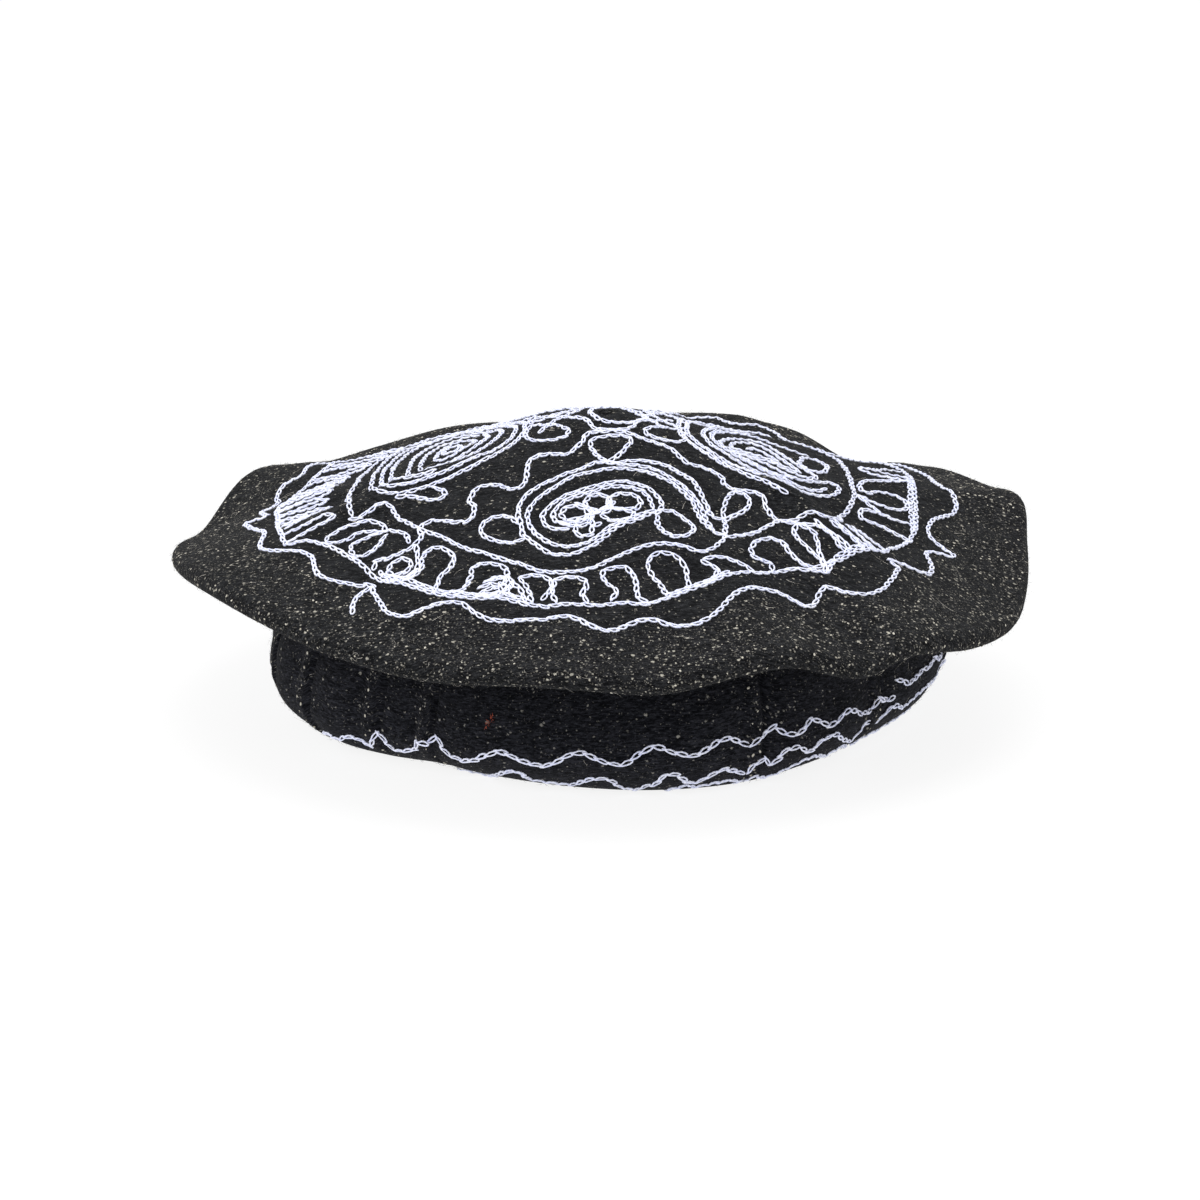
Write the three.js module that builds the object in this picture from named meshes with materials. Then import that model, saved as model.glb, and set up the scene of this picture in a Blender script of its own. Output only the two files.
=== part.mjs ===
// A pakol: a soft round cap of felted wool, with a wide floppy crown over a rolled and tucked band.
// Millimetres, +Z up. The cap stands on its band, and its front looks along -Y.
// Angles in the tables are degrees around +Z from +X, so the front is at -90.

import * as THREE from 'three';

// Cloth
const CLOTH = 2.4; // thickness of the woollen cloth
const CLEARANCE = 0.3; // gap that keeps touching pieces apart

// Crown: the flat bag of cloth that overhangs the band
const CROWN_RADIUS = 145; // mean radius of the rim
const CROWN_RISE = 46.5; // top of the crown above the mean height of the rim
const RIM_LIFT = 11; // mean height of the rim above the top of the band
const RIM_WAVE = 10; // how far the waves of the rim rise or fall
const RIM_BEND = 1.4; // inside radius of the fold along the rim
const CREASE_DEPTH = 4; // height of the soft creases across the top
const TIP_ROUNDING = 0.06; // how blunt the middle of the top is, as a share of the rim's radius
const WALL_BEND = 2.5; // radius where the underside turns down into the side wall
const WALL_FOOT = 1.5; // height of the side wall's lower edge above the table

// Band: the lower part of the cap, rolled up into a hollow ring
const BAND_RADIUS = 95; // mean radius of the line where the band meets the table
const BAND_SWELL = 16.5; // how far the band bulges beyond that line
const BAND_HEIGHT = 45; // top of the band above the table
const BAND_TURNS = 2; // turns of cloth that make the wall of the roll
const BAND_FOOT = 9; // width of the band's foot, from its inner face to its outer edge
const BAND_BEND = 0.8; // inside radius of the turns at the band's inner corners
const BAND_SLIT = 2; // opening between the two ends of the rolled cloth
const BAND_LAP = 11; // depth of that opening below the top of the band

// Tucks: narrow pleats that draw the band in
const TUCK_WIDTH = 5.5; // width of a pleat
const TUCK_HEIGHT = 1.5; // how far a pleat stands out
const TUCK_PINCH = 2.2; // how far the cloth beside a pleat is drawn in
const TUCK_SPREAD = 9; // how far along the band the cloth is drawn in

// Fineness of the faceted solids
const TOP_STEPS = 7;
const RIM_STEPS = 3;
const UNDER_STEPS = 3;
const SHOULDER_STEPS = 4;
const WIDEST_STEP = 6.5; // degrees between sections where there is no tuck

const BAND_WALL = BAND_TURNS * CLOTH;
const RIM_HEIGHT = BAND_HEIGHT + RIM_LIFT;
const CROWN_HEIGHT = RIM_HEIGHT + CROWN_RISE;

// The rim: reach is a share of CROWN_RADIUS, rise a share of RIM_WAVE above RIM_HEIGHT, and
// fullness is how far the top swells (+) or sags (-) between the centre and the rim
const RIM = [
  { at: -180, reach: 1.0, rise: -0.25, fullness: 0.12 },
  { at: -165, reach: 1.0, rise: 0.25, fullness: 0.18 },
  { at: -152, reach: 1.0, rise: 0.45, fullness: 0.2 },
  { at: -140, reach: 1.0, rise: 0.28, fullness: 0.15 },
  { at: -128, reach: 1.0, rise: -0.1, fullness: 0.1 },
  { at: -113, reach: 1.0, rise: -0.45, fullness: 0.1 },
  { at: -100, reach: 1.0, rise: -0.35, fullness: 0.1 },
  { at: -92, reach: 1.0, rise: -0.43, fullness: 0.1 },
  { at: -83, reach: 1.0, rise: -0.56, fullness: 0.1 },
  { at: -72, reach: 1.0, rise: -0.1, fullness: 0.08 },
  { at: -66, reach: 1.0, rise: -0.06, fullness: 0.08 },
  { at: -56, reach: 1.0, rise: -0.74, fullness: 0.12 },
  { at: -48, reach: 1.0, rise: -0.4, fullness: 0.12 },
  { at: -34, reach: 0.995, rise: -0.9, fullness: 0.2 },
  { at: -20, reach: 0.985, rise: -1.1, fullness: 0.15 },
  { at: -8, reach: 0.975, rise: -0.6, fullness: 0.08 },
  { at: 2, reach: 0.978, rise: 0.05, fullness: 0.0 },
  { at: 11, reach: 1.0, rise: 0.7, fullness: -0.05 },
  { at: 22, reach: 1.0, rise: 0.4, fullness: 0.0 },
  { at: 36, reach: 1.0, rise: 0.3, fullness: 0.1 },
  { at: 50, reach: 1.0, rise: -0.3, fullness: 0.12 },
  { at: 62, reach: 1.0, rise: 0.65, fullness: 0.25 },
  { at: 76, reach: 1.0, rise: 0.95, fullness: 0.25 },
  { at: 95, reach: 1.0, rise: 0.6, fullness: 0.15 },
  { at: 112, reach: 1.0, rise: 0.65, fullness: 0.3 },
  { at: 125, reach: 1.0, rise: 0.25, fullness: 0.2 },
  { at: 135, reach: 1.0, rise: 0.05, fullness: 0.08 },
  { at: 150, reach: 1.0, rise: 0.47, fullness: 0.05 },
  { at: 165, reach: 0.995, rise: -0.65, fullness: 0.08 },
];

// Creases of the top: from and to are shares of the rim's radius, height is a share of CREASE_DEPTH,
// and a crease fades out over width degrees on both sides
const CREASES = [
  { at: -155, from: 0.3, to: 0.86, width: 6, height: 1.2 },
  { at: -168, from: 0.3, to: 0.9, width: 7, height: -0.7 },
  { at: -34, from: 0.32, to: 0.78, width: 6, height: 1.1 },
  { at: -21, from: 0.3, to: 0.85, width: 7, height: -0.7 },
  { at: -64, from: 0.75, to: 1.0, width: 7, height: -0.5 },
  { at: -118, from: 0.7, to: 1.0, width: 10, height: 0.3 },
  { at: 70, from: 0.5, to: 0.98, width: 10, height: 0.5 },
];

// The band: foot is a share of BAND_RADIUS, swell a share of BAND_SWELL, and belly the height of
// the widest line as a share of BAND_HEIGHT
const BAND = [
  { at: -170, foot: 0.99, swell: 1.2, belly: 0.36 },
  { at: -155, foot: 1.0, swell: 1.07, belly: 0.33 },
  { at: -142, foot: 0.94, swell: 1.1, belly: 0.3 },
  { at: -128, foot: 0.865, swell: 1.25, belly: 0.3 },
  { at: -112, foot: 0.895, swell: 1.15, belly: 0.31 },
  { at: -96, foot: 0.938, swell: 1.05, belly: 0.32 },
  { at: -80, foot: 0.981, swell: 0.94, belly: 0.32 },
  { at: -62, foot: 0.992, swell: 0.94, belly: 0.33 },
  { at: -45, foot: 0.95, swell: 1.06, belly: 0.34 },
  { at: -30, foot: 0.93, swell: 1.15, belly: 0.36 },
  { at: -12, foot: 0.965, swell: 1.2, belly: 0.41 },
  { at: 5, foot: 1.025, swell: 1.18, belly: 0.41 },
  { at: 35, foot: 1.0, swell: 1.1, belly: 0.36 },
  { at: 65, foot: 1.0, swell: 1.0, belly: 0.34 },
  { at: 120, foot: 1.0, swell: 1.0, belly: 0.34 },
  { at: 150, foot: 1.01, swell: 0.97, belly: 0.32 },
];

// Where the tucks are around the band
const TUCKS = [-171, -152.5, -135.5, -123, -63, -33, 0, 29, 60, 92, 122, 151];

// A smooth closed curve through one column of a table
function around(table, column) {
  const points = table.map((row) => new THREE.Vector2(row.at, row[column]));
  const wrapped = [-2, -1].map((k) => points.at(k)).map((p) => new THREE.Vector2(p.x - 360, p.y));
  const after = [0, 1, 2].map((k) => new THREE.Vector2(points[k].x + 360, points[k].y));
  const nodes = [...wrapped, ...points, ...after];
  return (at) => {
    const angle = THREE.MathUtils.euclideanModulo(at - points[0].x, 360) + points[0].x;
    const k = nodes.findIndex((node, i) => i >= 1 && angle < nodes[i + 1].x);
    const [p0, p1, p2, p3] = nodes.slice(k - 1, k + 3);
    const span = p2.x - p1.x;
    const t = (angle - p1.x) / span;
    const slope1 = ((p2.y - p0.y) / (p2.x - p0.x)) * span;
    const slope2 = ((p3.y - p1.y) / (p3.x - p1.x)) * span;
    const rise = p2.y - p1.y;
    return p1.y + t * (slope1 + t * (3 * rise - 2 * slope1 - slope2 + t * (slope1 + slope2 - 2 * rise)));
  };
}

const rimReach = around(RIM, 'reach');
const rimRise = around(RIM, 'rise');
const rimFullness = around(RIM, 'fullness');
const bandFoot = around(BAND, 'foot');
const bandSwell = around(BAND, 'swell');
const bandBelly = around(BAND, 'belly');

// Signed difference of two angles, in degrees
function turnBetween(a, b) {
  return THREE.MathUtils.euclideanModulo(a - b + 180, 360) - 180;
}

function creaseHeight(share, at) {
  const heights = CREASES.map((crease) => {
    const along = THREE.MathUtils.clamp((share - crease.from) / (crease.to - crease.from), 0, 1);
    const across = turnBetween(at, crease.at) / crease.width;
    return crease.height * Math.sin(Math.PI * along) * Math.exp(-across * across);
  });
  return CREASE_DEPTH * heights.reduce((sum, height) => sum + height, 0);
}

// Height of the crown's top surface at a share of the way from its centre to the rim
function topHeight(share, at, rimTop) {
  const base = THREE.MathUtils.lerp(RIM_HEIGHT, rimTop, share * share);
  const blunt = (Math.hypot(share, TIP_ROUNDING) - TIP_ROUNDING) / (Math.hypot(1, TIP_ROUNDING) - TIP_ROUNDING);
  const fall = (1 - blunt) * (1 + rimFullness(at) * blunt);
  return base + (CROWN_HEIGHT - base) * fall + creaseHeight(share, at);
}

// Radius of the inner face of the band, which the side wall fits inside
function bandInside(at) {
  return BAND_RADIUS * bandFoot(at) - BAND_FOOT;
}

// Points on an arc in a section, angles in degrees from outwards towards up
function arc(centre, radius, from, to, steps) {
  return Array.from({ length: steps + 1 }, (_, k) => {
    const turn = THREE.MathUtils.degToRad(THREE.MathUtils.lerp(from, to, k / steps));
    return new THREE.Vector2(centre.x + radius * Math.cos(turn), centre.y + radius * Math.sin(turn));
  });
}

// Middle line of the crown's cloth in the section at an angle, from the axis to the wall's edge
function crownLine(at) {
  const half = CLOTH / 2;
  const bend = RIM_BEND + half;
  const fold = new THREE.Vector2(CROWN_RADIUS * rimReach(at) - bend - half, RIM_HEIGHT + RIM_WAVE * rimRise(at));
  const top = Array.from({ length: TOP_STEPS }, (_, k) => {
    const share = k / TOP_STEPS;
    return new THREE.Vector2(share * fold.x, topHeight(share, at, fold.y + bend + half) - half);
  });
  const wall = bandInside(at) - CLEARANCE - half;
  const seat = BAND_HEIGHT + CLEARANCE + half;
  const turn = new THREE.Vector2(wall + WALL_BEND, seat - WALL_BEND);
  const under = Array.from({ length: UNDER_STEPS - 1 }, (_, k) => {
    const share = (k + 1) / UNDER_STEPS;
    const drop = THREE.MathUtils.smoothstep(share, 0, 0.8);
    return new THREE.Vector2(
      THREE.MathUtils.lerp(fold.x, turn.x, share),
      THREE.MathUtils.lerp(fold.y - bend, seat, drop),
    );
  });
  return [
    ...top,
    ...arc(fold, bend, 90, -90, RIM_STEPS),
    ...under,
    ...arc(turn, WALL_BEND, 90, 180, 1),
    new THREE.Vector2(wall, WALL_FOOT),
  ];
}

// How far the tucks move the band's outside at an angle, away from the axis
function tuckOffset(at) {
  return TUCKS.reduce((sum, tuck) => {
    const along = THREE.MathUtils.degToRad(turnBetween(at, tuck)) * BAND_RADIUS;
    const pleat = Math.abs(along) < TUCK_WIDTH / 2 ? TUCK_HEIGHT : 0;
    return sum + pleat - TUCK_PINCH * Math.exp(-((along / TUCK_SPREAD) ** 2));
  }, 0);
}

// Middle line of the band's rolled wall in the section at an angle, from one end to the other
function bandLine(at) {
  const half = BAND_WALL / 2;
  const bend = BAND_BEND + half;
  const inner = bandInside(at) + half;
  const top = BAND_HEIGHT - half;
  const slit = BAND_HEIGHT - BAND_LAP;
  const shift = tuckOffset(at);
  const foot = new THREE.Vector2(BAND_RADIUS * bandFoot(at), half);
  const belly = new THREE.Vector2(foot.x + BAND_SWELL * bandSwell(at) - half + shift, BAND_HEIGHT * bandBelly(at));
  const crest = THREE.MathUtils.lerp(inner, belly.x, 0.45);
  const flare = new THREE.QuadraticBezierCurve(
    foot,
    new THREE.Vector2(THREE.MathUtils.lerp(foot.x, belly.x, 0.85), THREE.MathUtils.lerp(foot.y, belly.y, 0.35)),
    belly,
  );
  const shoulder = new THREE.EllipseCurve(crest, belly.y, belly.x - crest, top - belly.y, 0, Math.PI / 2);
  const rollover = new THREE.EllipseCurve(crest, top - bend, crest - inner, bend, Math.PI / 2, Math.PI);
  return [
    new THREE.Vector2(inner, slit - BAND_SLIT / 2),
    ...arc(new THREE.Vector2(inner + bend, half + bend), bend, 180, 270, 2),
    ...flare.getPoints(2),
    ...shoulder.getPoints(SHOULDER_STEPS).slice(1),
    ...rollover.getPoints(2).slice(1),
    new THREE.Vector2(inner, slit + BAND_SLIT / 2),
  ];
}

// The line moved sideways by a distance, with mitred corners; on the axis it moves straight up
function moved(line, distance) {
  return line.map((point, k) => {
    const before = line[Math.max(k - 1, 0)];
    const after = line[Math.min(k + 1, line.length - 1)];
    const into = point.clone().sub(before).normalize();
    const out = after.clone().sub(point).normalize();
    const first = k === 0 ? out : into;
    const last = k === line.length - 1 ? into : out;
    const side = new THREE.Vector2(-first.y - last.y, first.x + last.x).normalize();
    const mitre = distance / side.dot(new THREE.Vector2(-first.y, first.x));
    return point.x === 0 ? new THREE.Vector2(0, point.y + distance) : point.clone().addScaledVector(side, mitre);
  });
}

// Angles of the sections: four at each tuck, and evenly spaced ones between
function stations() {
  const degree = THREE.MathUtils.radToDeg(1 / BAND_RADIUS);
  const steps = [-0.72, -0.49, 0.49, 0.72].map((share) => share * TUCK_WIDTH * degree);
  return TUCKS.flatMap((tuck, k) => {
    const next = k + 1 < TUCKS.length ? TUCKS[k + 1] : TUCKS[0] + 360;
    const start = tuck + steps[3];
    const gap = next + steps[0] - start;
    const count = Math.max(Math.ceil(gap / WIDEST_STEP), 1);
    const between = Array.from({ length: count - 1 }, (_, i) => start + (gap * (i + 1)) / count);
    return [...steps.map((step) => tuck + step), ...between];
  });
}

const STATIONS = stations();

// One closed solid of cloth from its middle line at each station. A line that starts on the axis
// gives a bag, closed over the top, and any other line gives a ring.
function clothSolid(lineAt, thickness) {
  const loops = STATIONS.map((at) => {
    const line = lineAt(at);
    return [...moved(line, thickness / 2), ...moved(line, -thickness / 2).reverse()];
  });
  const size = loops[0].length;
  const onAxis = loops[0].map((point) => point.x === 0);
  const positions = [];
  const vertex = loops.map((loop, i) =>
    loop.map((point, k) => {
      if (onAxis[k] && i > 0) {
        return -1;
      }
      const turn = THREE.MathUtils.degToRad(STATIONS[i]);
      positions.push(point.x * Math.cos(turn), point.x * Math.sin(turn), point.y);
      return positions.length / 3 - 1;
    }),
  );
  const at = (i, k) => (onAxis[k % size] ? vertex[0][k % size] : vertex[i % loops.length][k % size]);
  const triangles = [];
  for (let i = 0; i < loops.length; i += 1) {
    for (let k = 0; k < size; k += 1) {
      const corners = [at(i, k), at(i, k + 1), at(i + 1, k + 1), at(i + 1, k)];
      const [a, b, c, d] = corners;
      if (a !== d || b !== c) {
        if (b !== c) {
          triangles.push(a, b, c);
        }
        if (a !== d) {
          triangles.push(a, c, d);
        }
      }
    }
  }
  const geometry = new THREE.BufferGeometry();
  geometry.setAttribute('position', new THREE.Float32BufferAttribute(positions, 3));
  geometry.setIndex(triangles);
  geometry.computeVertexNormals();
  return geometry;
}

function piece(name, geometry, material) {
  const mesh = new THREE.Mesh(geometry, material);
  mesh.name = name;
  return mesh;
}

const crownWool = new THREE.MeshStandardMaterial({ color: '#1b1c1c', roughness: 0.95, metalness: 0 });
const bandWool = new THREE.MeshStandardMaterial({ color: '#131417', roughness: 0.95, metalness: 0 });

const cap = new THREE.Group();
cap.add(piece('crown', clothSolid(crownLine, CLOTH), crownWool));
cap.add(piece('rolled_band', clothSolid(bandLine, BAND_WALL), bandWool));

// The origin is on the table below the middle of the cap
const middle = new THREE.Box3().setFromObject(cap).getCenter(new THREE.Vector3());
cap.position.set(-middle.x, -middle.y, 0);

export default cap;
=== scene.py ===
import math

import bmesh
import bpy
import numpy as np
from mathutils import Matrix, Vector


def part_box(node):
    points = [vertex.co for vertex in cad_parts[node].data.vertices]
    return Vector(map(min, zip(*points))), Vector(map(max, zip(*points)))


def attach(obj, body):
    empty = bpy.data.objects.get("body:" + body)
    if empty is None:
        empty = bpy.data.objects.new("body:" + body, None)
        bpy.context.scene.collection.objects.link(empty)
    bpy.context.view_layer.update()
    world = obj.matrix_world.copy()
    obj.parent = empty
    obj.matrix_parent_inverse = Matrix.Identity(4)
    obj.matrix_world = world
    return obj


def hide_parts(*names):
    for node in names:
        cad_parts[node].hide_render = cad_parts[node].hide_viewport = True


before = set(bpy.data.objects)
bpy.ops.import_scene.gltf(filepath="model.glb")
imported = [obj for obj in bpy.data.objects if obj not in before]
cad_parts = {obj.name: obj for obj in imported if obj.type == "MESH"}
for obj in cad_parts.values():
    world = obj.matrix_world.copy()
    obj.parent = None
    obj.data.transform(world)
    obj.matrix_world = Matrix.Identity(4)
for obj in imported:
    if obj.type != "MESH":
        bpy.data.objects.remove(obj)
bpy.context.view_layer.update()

# A pakol in black tweed wool with white chain-stitch embroidery.
# Shapes are worked out in millimetres around the cap's own axis, with the front at -90 degrees.
# They are moved into the row frame, in metres, when a piece is made.

SEED = 7
rng = np.random.default_rng(SEED)

# Sizes, as in the part's source
CLOTH = 2.4
CLEARANCE = 0.3
CROWN_RADIUS = 145
CROWN_RISE = 46.5
RIM_LIFT = 11
RIM_WAVE = 10
RIM_BEND = 1.4
CREASE_DEPTH = 4
TIP_ROUNDING = 0.06
WALL_BEND = 2.5
WALL_FOOT = 1.5
BAND_RADIUS = 95
BAND_SWELL = 16.5
BAND_HEIGHT = 45
BAND_TURNS = 2
BAND_FOOT = 9
BAND_BEND = 0.8
TUCK_WIDTH = 5.5
TUCK_HEIGHT = 1.5
TUCK_PINCH = 2.2
TUCK_SPREAD = 9
HALF = CLOTH / 2
FOLD = RIM_BEND + HALF
BAND_WALL = BAND_TURNS * CLOTH
RIM_HEIGHT = BAND_HEIGHT + RIM_LIFT
CROWN_HEIGHT = RIM_HEIGHT + CROWN_RISE

# Shares of the band's outer face: where its belly and crest lie, and how full it is below the belly
BELLY_SHARE = 0.4
CREST_SHARE = 0.45
FLARE_REACH = 0.85
FLARE_HEIGHT = 0.35

# Share of the band's back that goes over the roll
ROLL_SHARE = 0.35

# Finer relief of the cloth: the groove beside a tuck, and soft and small lumps
TUCK_GROOVE = 1.3
TUCK_SHADOW = 0.75
CROWN_LUMPS = 0.45
BAND_LUMPS = 0.3
SMALL_LUMPS = 0.12

# The rim: angle, reach, rise and fullness
RIM = [
    (-180, 1.0, -0.25, 0.12),
    (-165, 1.0, 0.25, 0.18),
    (-152, 1.0, 0.45, 0.2),
    (-140, 1.0, 0.28, 0.15),
    (-128, 1.0, -0.1, 0.1),
    (-113, 1.0, -0.45, 0.1),
    (-100, 1.0, -0.35, 0.1),
    (-92, 1.0, -0.43, 0.1),
    (-83, 1.0, -0.56, 0.1),
    (-72, 1.0, -0.1, 0.08),
    (-66, 1.0, -0.06, 0.08),
    (-56, 1.0, -0.74, 0.12),
    (-48, 1.0, -0.4, 0.12),
    (-34, 0.995, -0.9, 0.2),
    (-20, 0.985, -1.1, 0.15),
    (-8, 0.975, -0.6, 0.08),
    (2, 0.978, 0.05, 0.0),
    (11, 1.0, 0.7, -0.05),
    (22, 1.0, 0.4, 0.0),
    (36, 1.0, 0.3, 0.1),
    (50, 1.0, -0.3, 0.12),
    (62, 1.0, 0.65, 0.25),
    (76, 1.0, 0.95, 0.25),
    (95, 1.0, 0.6, 0.15),
    (112, 1.0, 0.65, 0.3),
    (125, 1.0, 0.25, 0.2),
    (135, 1.0, 0.05, 0.08),
    (150, 1.0, 0.47, 0.05),
    (165, 0.995, -0.65, 0.08),
]

# Creases of the top: angle, start and end as shares of the rim's radius, width in degrees, height
CREASES = [
    (-155, 0.3, 0.86, 6, 1.2),
    (-168, 0.3, 0.9, 7, -0.7),
    (-34, 0.32, 0.78, 6, 1.1),
    (-21, 0.3, 0.85, 7, -0.7),
    (-64, 0.75, 1.0, 7, -0.5),
    (-118, 0.7, 1.0, 10, 0.3),
    (70, 0.8, 1.0, 10, 0.5),
    (64, 0.36, 0.93, 12, -0.9),
    (40, 0.6, 0.93, 8, -0.6),
    (110, 0.4, 0.93, 11, -0.85),
    (127, 0.55, 0.93, 9, -0.75),
    (143, 0.62, 0.93, 8, -0.5),
]

# The band: angle, foot, swell and belly
BAND = [
    (-170, 0.99, 1.2, 0.36),
    (-155, 1.0, 1.07, 0.33),
    (-142, 0.94, 1.1, 0.3),
    (-128, 0.865, 1.25, 0.3),
    (-112, 0.895, 1.15, 0.31),
    (-96, 0.938, 1.05, 0.32),
    (-80, 0.981, 0.94, 0.32),
    (-62, 0.992, 0.94, 0.33),
    (-45, 0.95, 1.06, 0.34),
    (-30, 0.93, 1.15, 0.36),
    (-12, 0.965, 1.2, 0.41),
    (5, 1.025, 1.18, 0.41),
    (35, 1.0, 1.1, 0.36),
    (65, 1.0, 1.0, 0.34),
    (120, 1.0, 1.0, 0.34),
    (150, 1.01, 0.97, 0.32),
]

# The tucks: angle, and how many degrees the pleat leans from the foot to the crest
TUCKS = [
    (-171, 2),
    (-154, 2),
    (-137.3, 4),
    (-125.6, 4),
    (-64, 0.5),
    (-33.6, 3),
    (0, 2),
    (29, -1),
    (60, 2),
    (92, -2),
    (122, 1),
    (151, 2),
]

# The embroidery of the front of the crown, seen from above: millimetres to the right and to the back.
# A row that ends where it starts is a closed ring.

STEP_LINE = [
    (2, -16.2), (5.5, -16.3), (9.1, -17.5), (13.6, -19.8), (18.2, -20.7), (21.8, -22.5), (24.1, -26.6),
    (26.8, -29.8), (30.9, -30.5), (35, -32.1), (37.7, -35.3), (38.2, -38.9), (40.5, -41.2), (44.5, -41.6),
    (48.2, -42.5), (50.9, -44.4), (51.8, -48.9), (53.6, -53.5), (55.5, -55.7),
]

STEP_LINE_LEFT = [
    (2, -16.2), (-1, -16.2), (-5.9, -16.6), (-7.3, -20.3), (-10, -25.3), (-12.3, -28.5), (-18.2, -28),
    (-22.7, -28), (-25, -30.3), (-25.5, -35.3), (-26.4, -41.6), (-29.1, -44.8), (-32.7, -42.5),
    (-35.5, -40.5), (-40, -40.3), (-42.7, -42.5), (-44.1, -48), (-42.7, -52.5), (-42.7, -58),
    (-45, -60.7),
    (-49.1, -59.8), (-52.7, -57.5), (-56.4, -56.6), (-59.1, -58.9), (-60, -60.7),
]

SCALLOP = [
    (-60, -60.3), (-56.4, -64.4), (-52.7, -68), (-48.2, -72.5), (-43.6, -77.1), (-39.1, -79.8),
    (-33.6, -84.4), (-28.2, -88), (-23.6, -91.6), (-19.1, -94.4), (-13.6, -95.3), (-7.3, -94.4),
    (-2.7, -91.6), (1.8, -88), (7.3, -84.4), (12.7, -82.1), (18.2, -80.9), (23.6, -81.2), (29.1, -83),
    (33.6, -81.2), (35.9, -77.5), (37.3, -73.9), (37.8, -71.5), (38.1, -68), (38.4, -64.5), (37.8, -60.4),
]

SCALLOP_RIGHT = [
    (38.4, -72.8), (43.6, -68.9), (48.2, -64.8), (52.7, -59.8), (55.9, -55.7), (60.2, -54.2), (63, -52),
    (66.9, -50), (71.3, -50), (75.4, -47), (76.3, -42), (76.3, -35.6), (76.9, -28.9), (79.1, -24.4),
    (81.3, -16.7), (82.4, -7.8), (81.9, 3.3), (81.3, 14.4), (80.2, 25.6), (78.6, 36.7), (73.6, 43.3),
    (66, 50.5), (57.4, 57),
]

SCALLOP_LEFT = [
    (-60, -60.3), (-63.8, -55.6), (-67.1, -51.1), (-69.3, -45.6), (-72.7, -43), (-78, -46.5),
    (-81.6, -48.3),
    (-83.2, -43.3), (-83.8, -34.4), (-84.3, -25.6), (-85.4, -16.7), (-85.4, -10), (-83.2, -1.1),
    (-82.7, 7.8), (-81.6, 17.8), (-79.3, 25.6), (-76, 32.2), (-71.6, 36.7), (-68.2, 44.4),
    (-63, 51), (-55, 54.5), (-49, 60), (-42.5, 65.5), (-37, 69.6),
]

PAISLEY_HOOD = [
    (37.8, -60.4), (34.8, -60.1), (33.1, -58), (32.5, -54.5), (31.3, -50.4), (30.1, -46.8), (28.9, -43.3),
    (26.6, -40.1), (23.6, -37.4), (20.7, -34.8), (17.2, -33.9), (13.6, -33.3), (10.1, -33.6),
    (6.6, -34.2),
    (3.1, -35.4), (1.3, -34.5),
]

PAISLEY_OUTER = [
    (37.8, -71.2), (35.1, -70.4), (33.3, -66.5), (31.9, -62), (31, -57.5), (29.2, -52.4), (26.9, -48.3),
    (24.5, -44.8), (21.3, -41.5), (18.4, -39.2), (14.8, -37.4), (10.7, -36.5), (4.8, -36.5), (0.7, -35.8),
    (-3.4, -35.6), (-6.4, -37.7), (-9.3, -39.5), (-13.4, -41.8), (-16.9, -43.9), (-20.5, -45.4),
    (-23.4, -48), (-25.5, -50.6), (-27.2, -53.9), (-28.1, -57.4), (-28.1, -60.9), (-27.5, -64.5),
    (-26.9, -68), (-26.4, -72.1), (-24, -76.8), (-21.1, -80.9), (-18.1, -84.5), (-14.6, -85.9),
    (-10.5, -85.4), (-6.9, -82.7), (-3.4, -79.8), (-1.1, -76.8), (1.9, -72.7), (5.4, -69.8), (8.9, -68),
    (11.9, -65.6), (14.8, -63.3), (17.2, -61.5),
]

PAISLEY_INNER = [
    (33.5, -69), (31, -63.5), (29.2, -58.6), (28.1, -54.5), (26, -50.6), (23.6, -47.1), (21.3, -44.2),
    (18.4, -42.1), (14.8, -40.1), (10.7, -39.2), (6, -39.2), (0.7, -39.4), (-4, -40.9), (-8.7, -42.6),
    (-12.2, -45.1), (-16.4, -48.6), (-19.3, -51.5), (-22.2, -54.5), (-24.3, -58.6), (-24.9, -62.1),
    (-24.9, -66.2), (-23.7, -70.4), (-21.9, -74.5), (-19.3, -78), (-15.8, -80.4), (-12.2, -81.5),
    (-8.7, -80.6), (-5.2, -78.6), (-2.2, -75), (1.5, -70.5), (6, -67.5), (11, -64.2), (15.5, -61.5),
]

SPIRAL_OUTER = [
    (17.2, -61.5), (17.8, -57.4), (16.6, -53.3), (14.2, -49.8), (10.7, -47.4), (6.6, -46.2), (2.5, -46.8),
    (-1.6, -48), (-5.8, -50.2), (-9.9, -52.7), (-13.4, -54.5), (-16.4, -57.4), (-18.7, -60.4),
    (-20.2, -63.9), (-19.9, -68), (-18.4, -70.9), (-15.8, -72.7), (-12.2, -72.1),
]

SPIRAL_INNER = [
    (15, -60.5), (14.6, -56.6), (13, -52.6), (9.4, -49.6), (5.4, -48.8), (1, -49.4), (-3, -51.2),
    (-6.6, -53.2), (-10.4, -55.4), (-13.6, -57.6), (-16, -61), (-16.8, -65), (-15.6, -68.6),
    (-12.6, -70.4),
]

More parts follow.
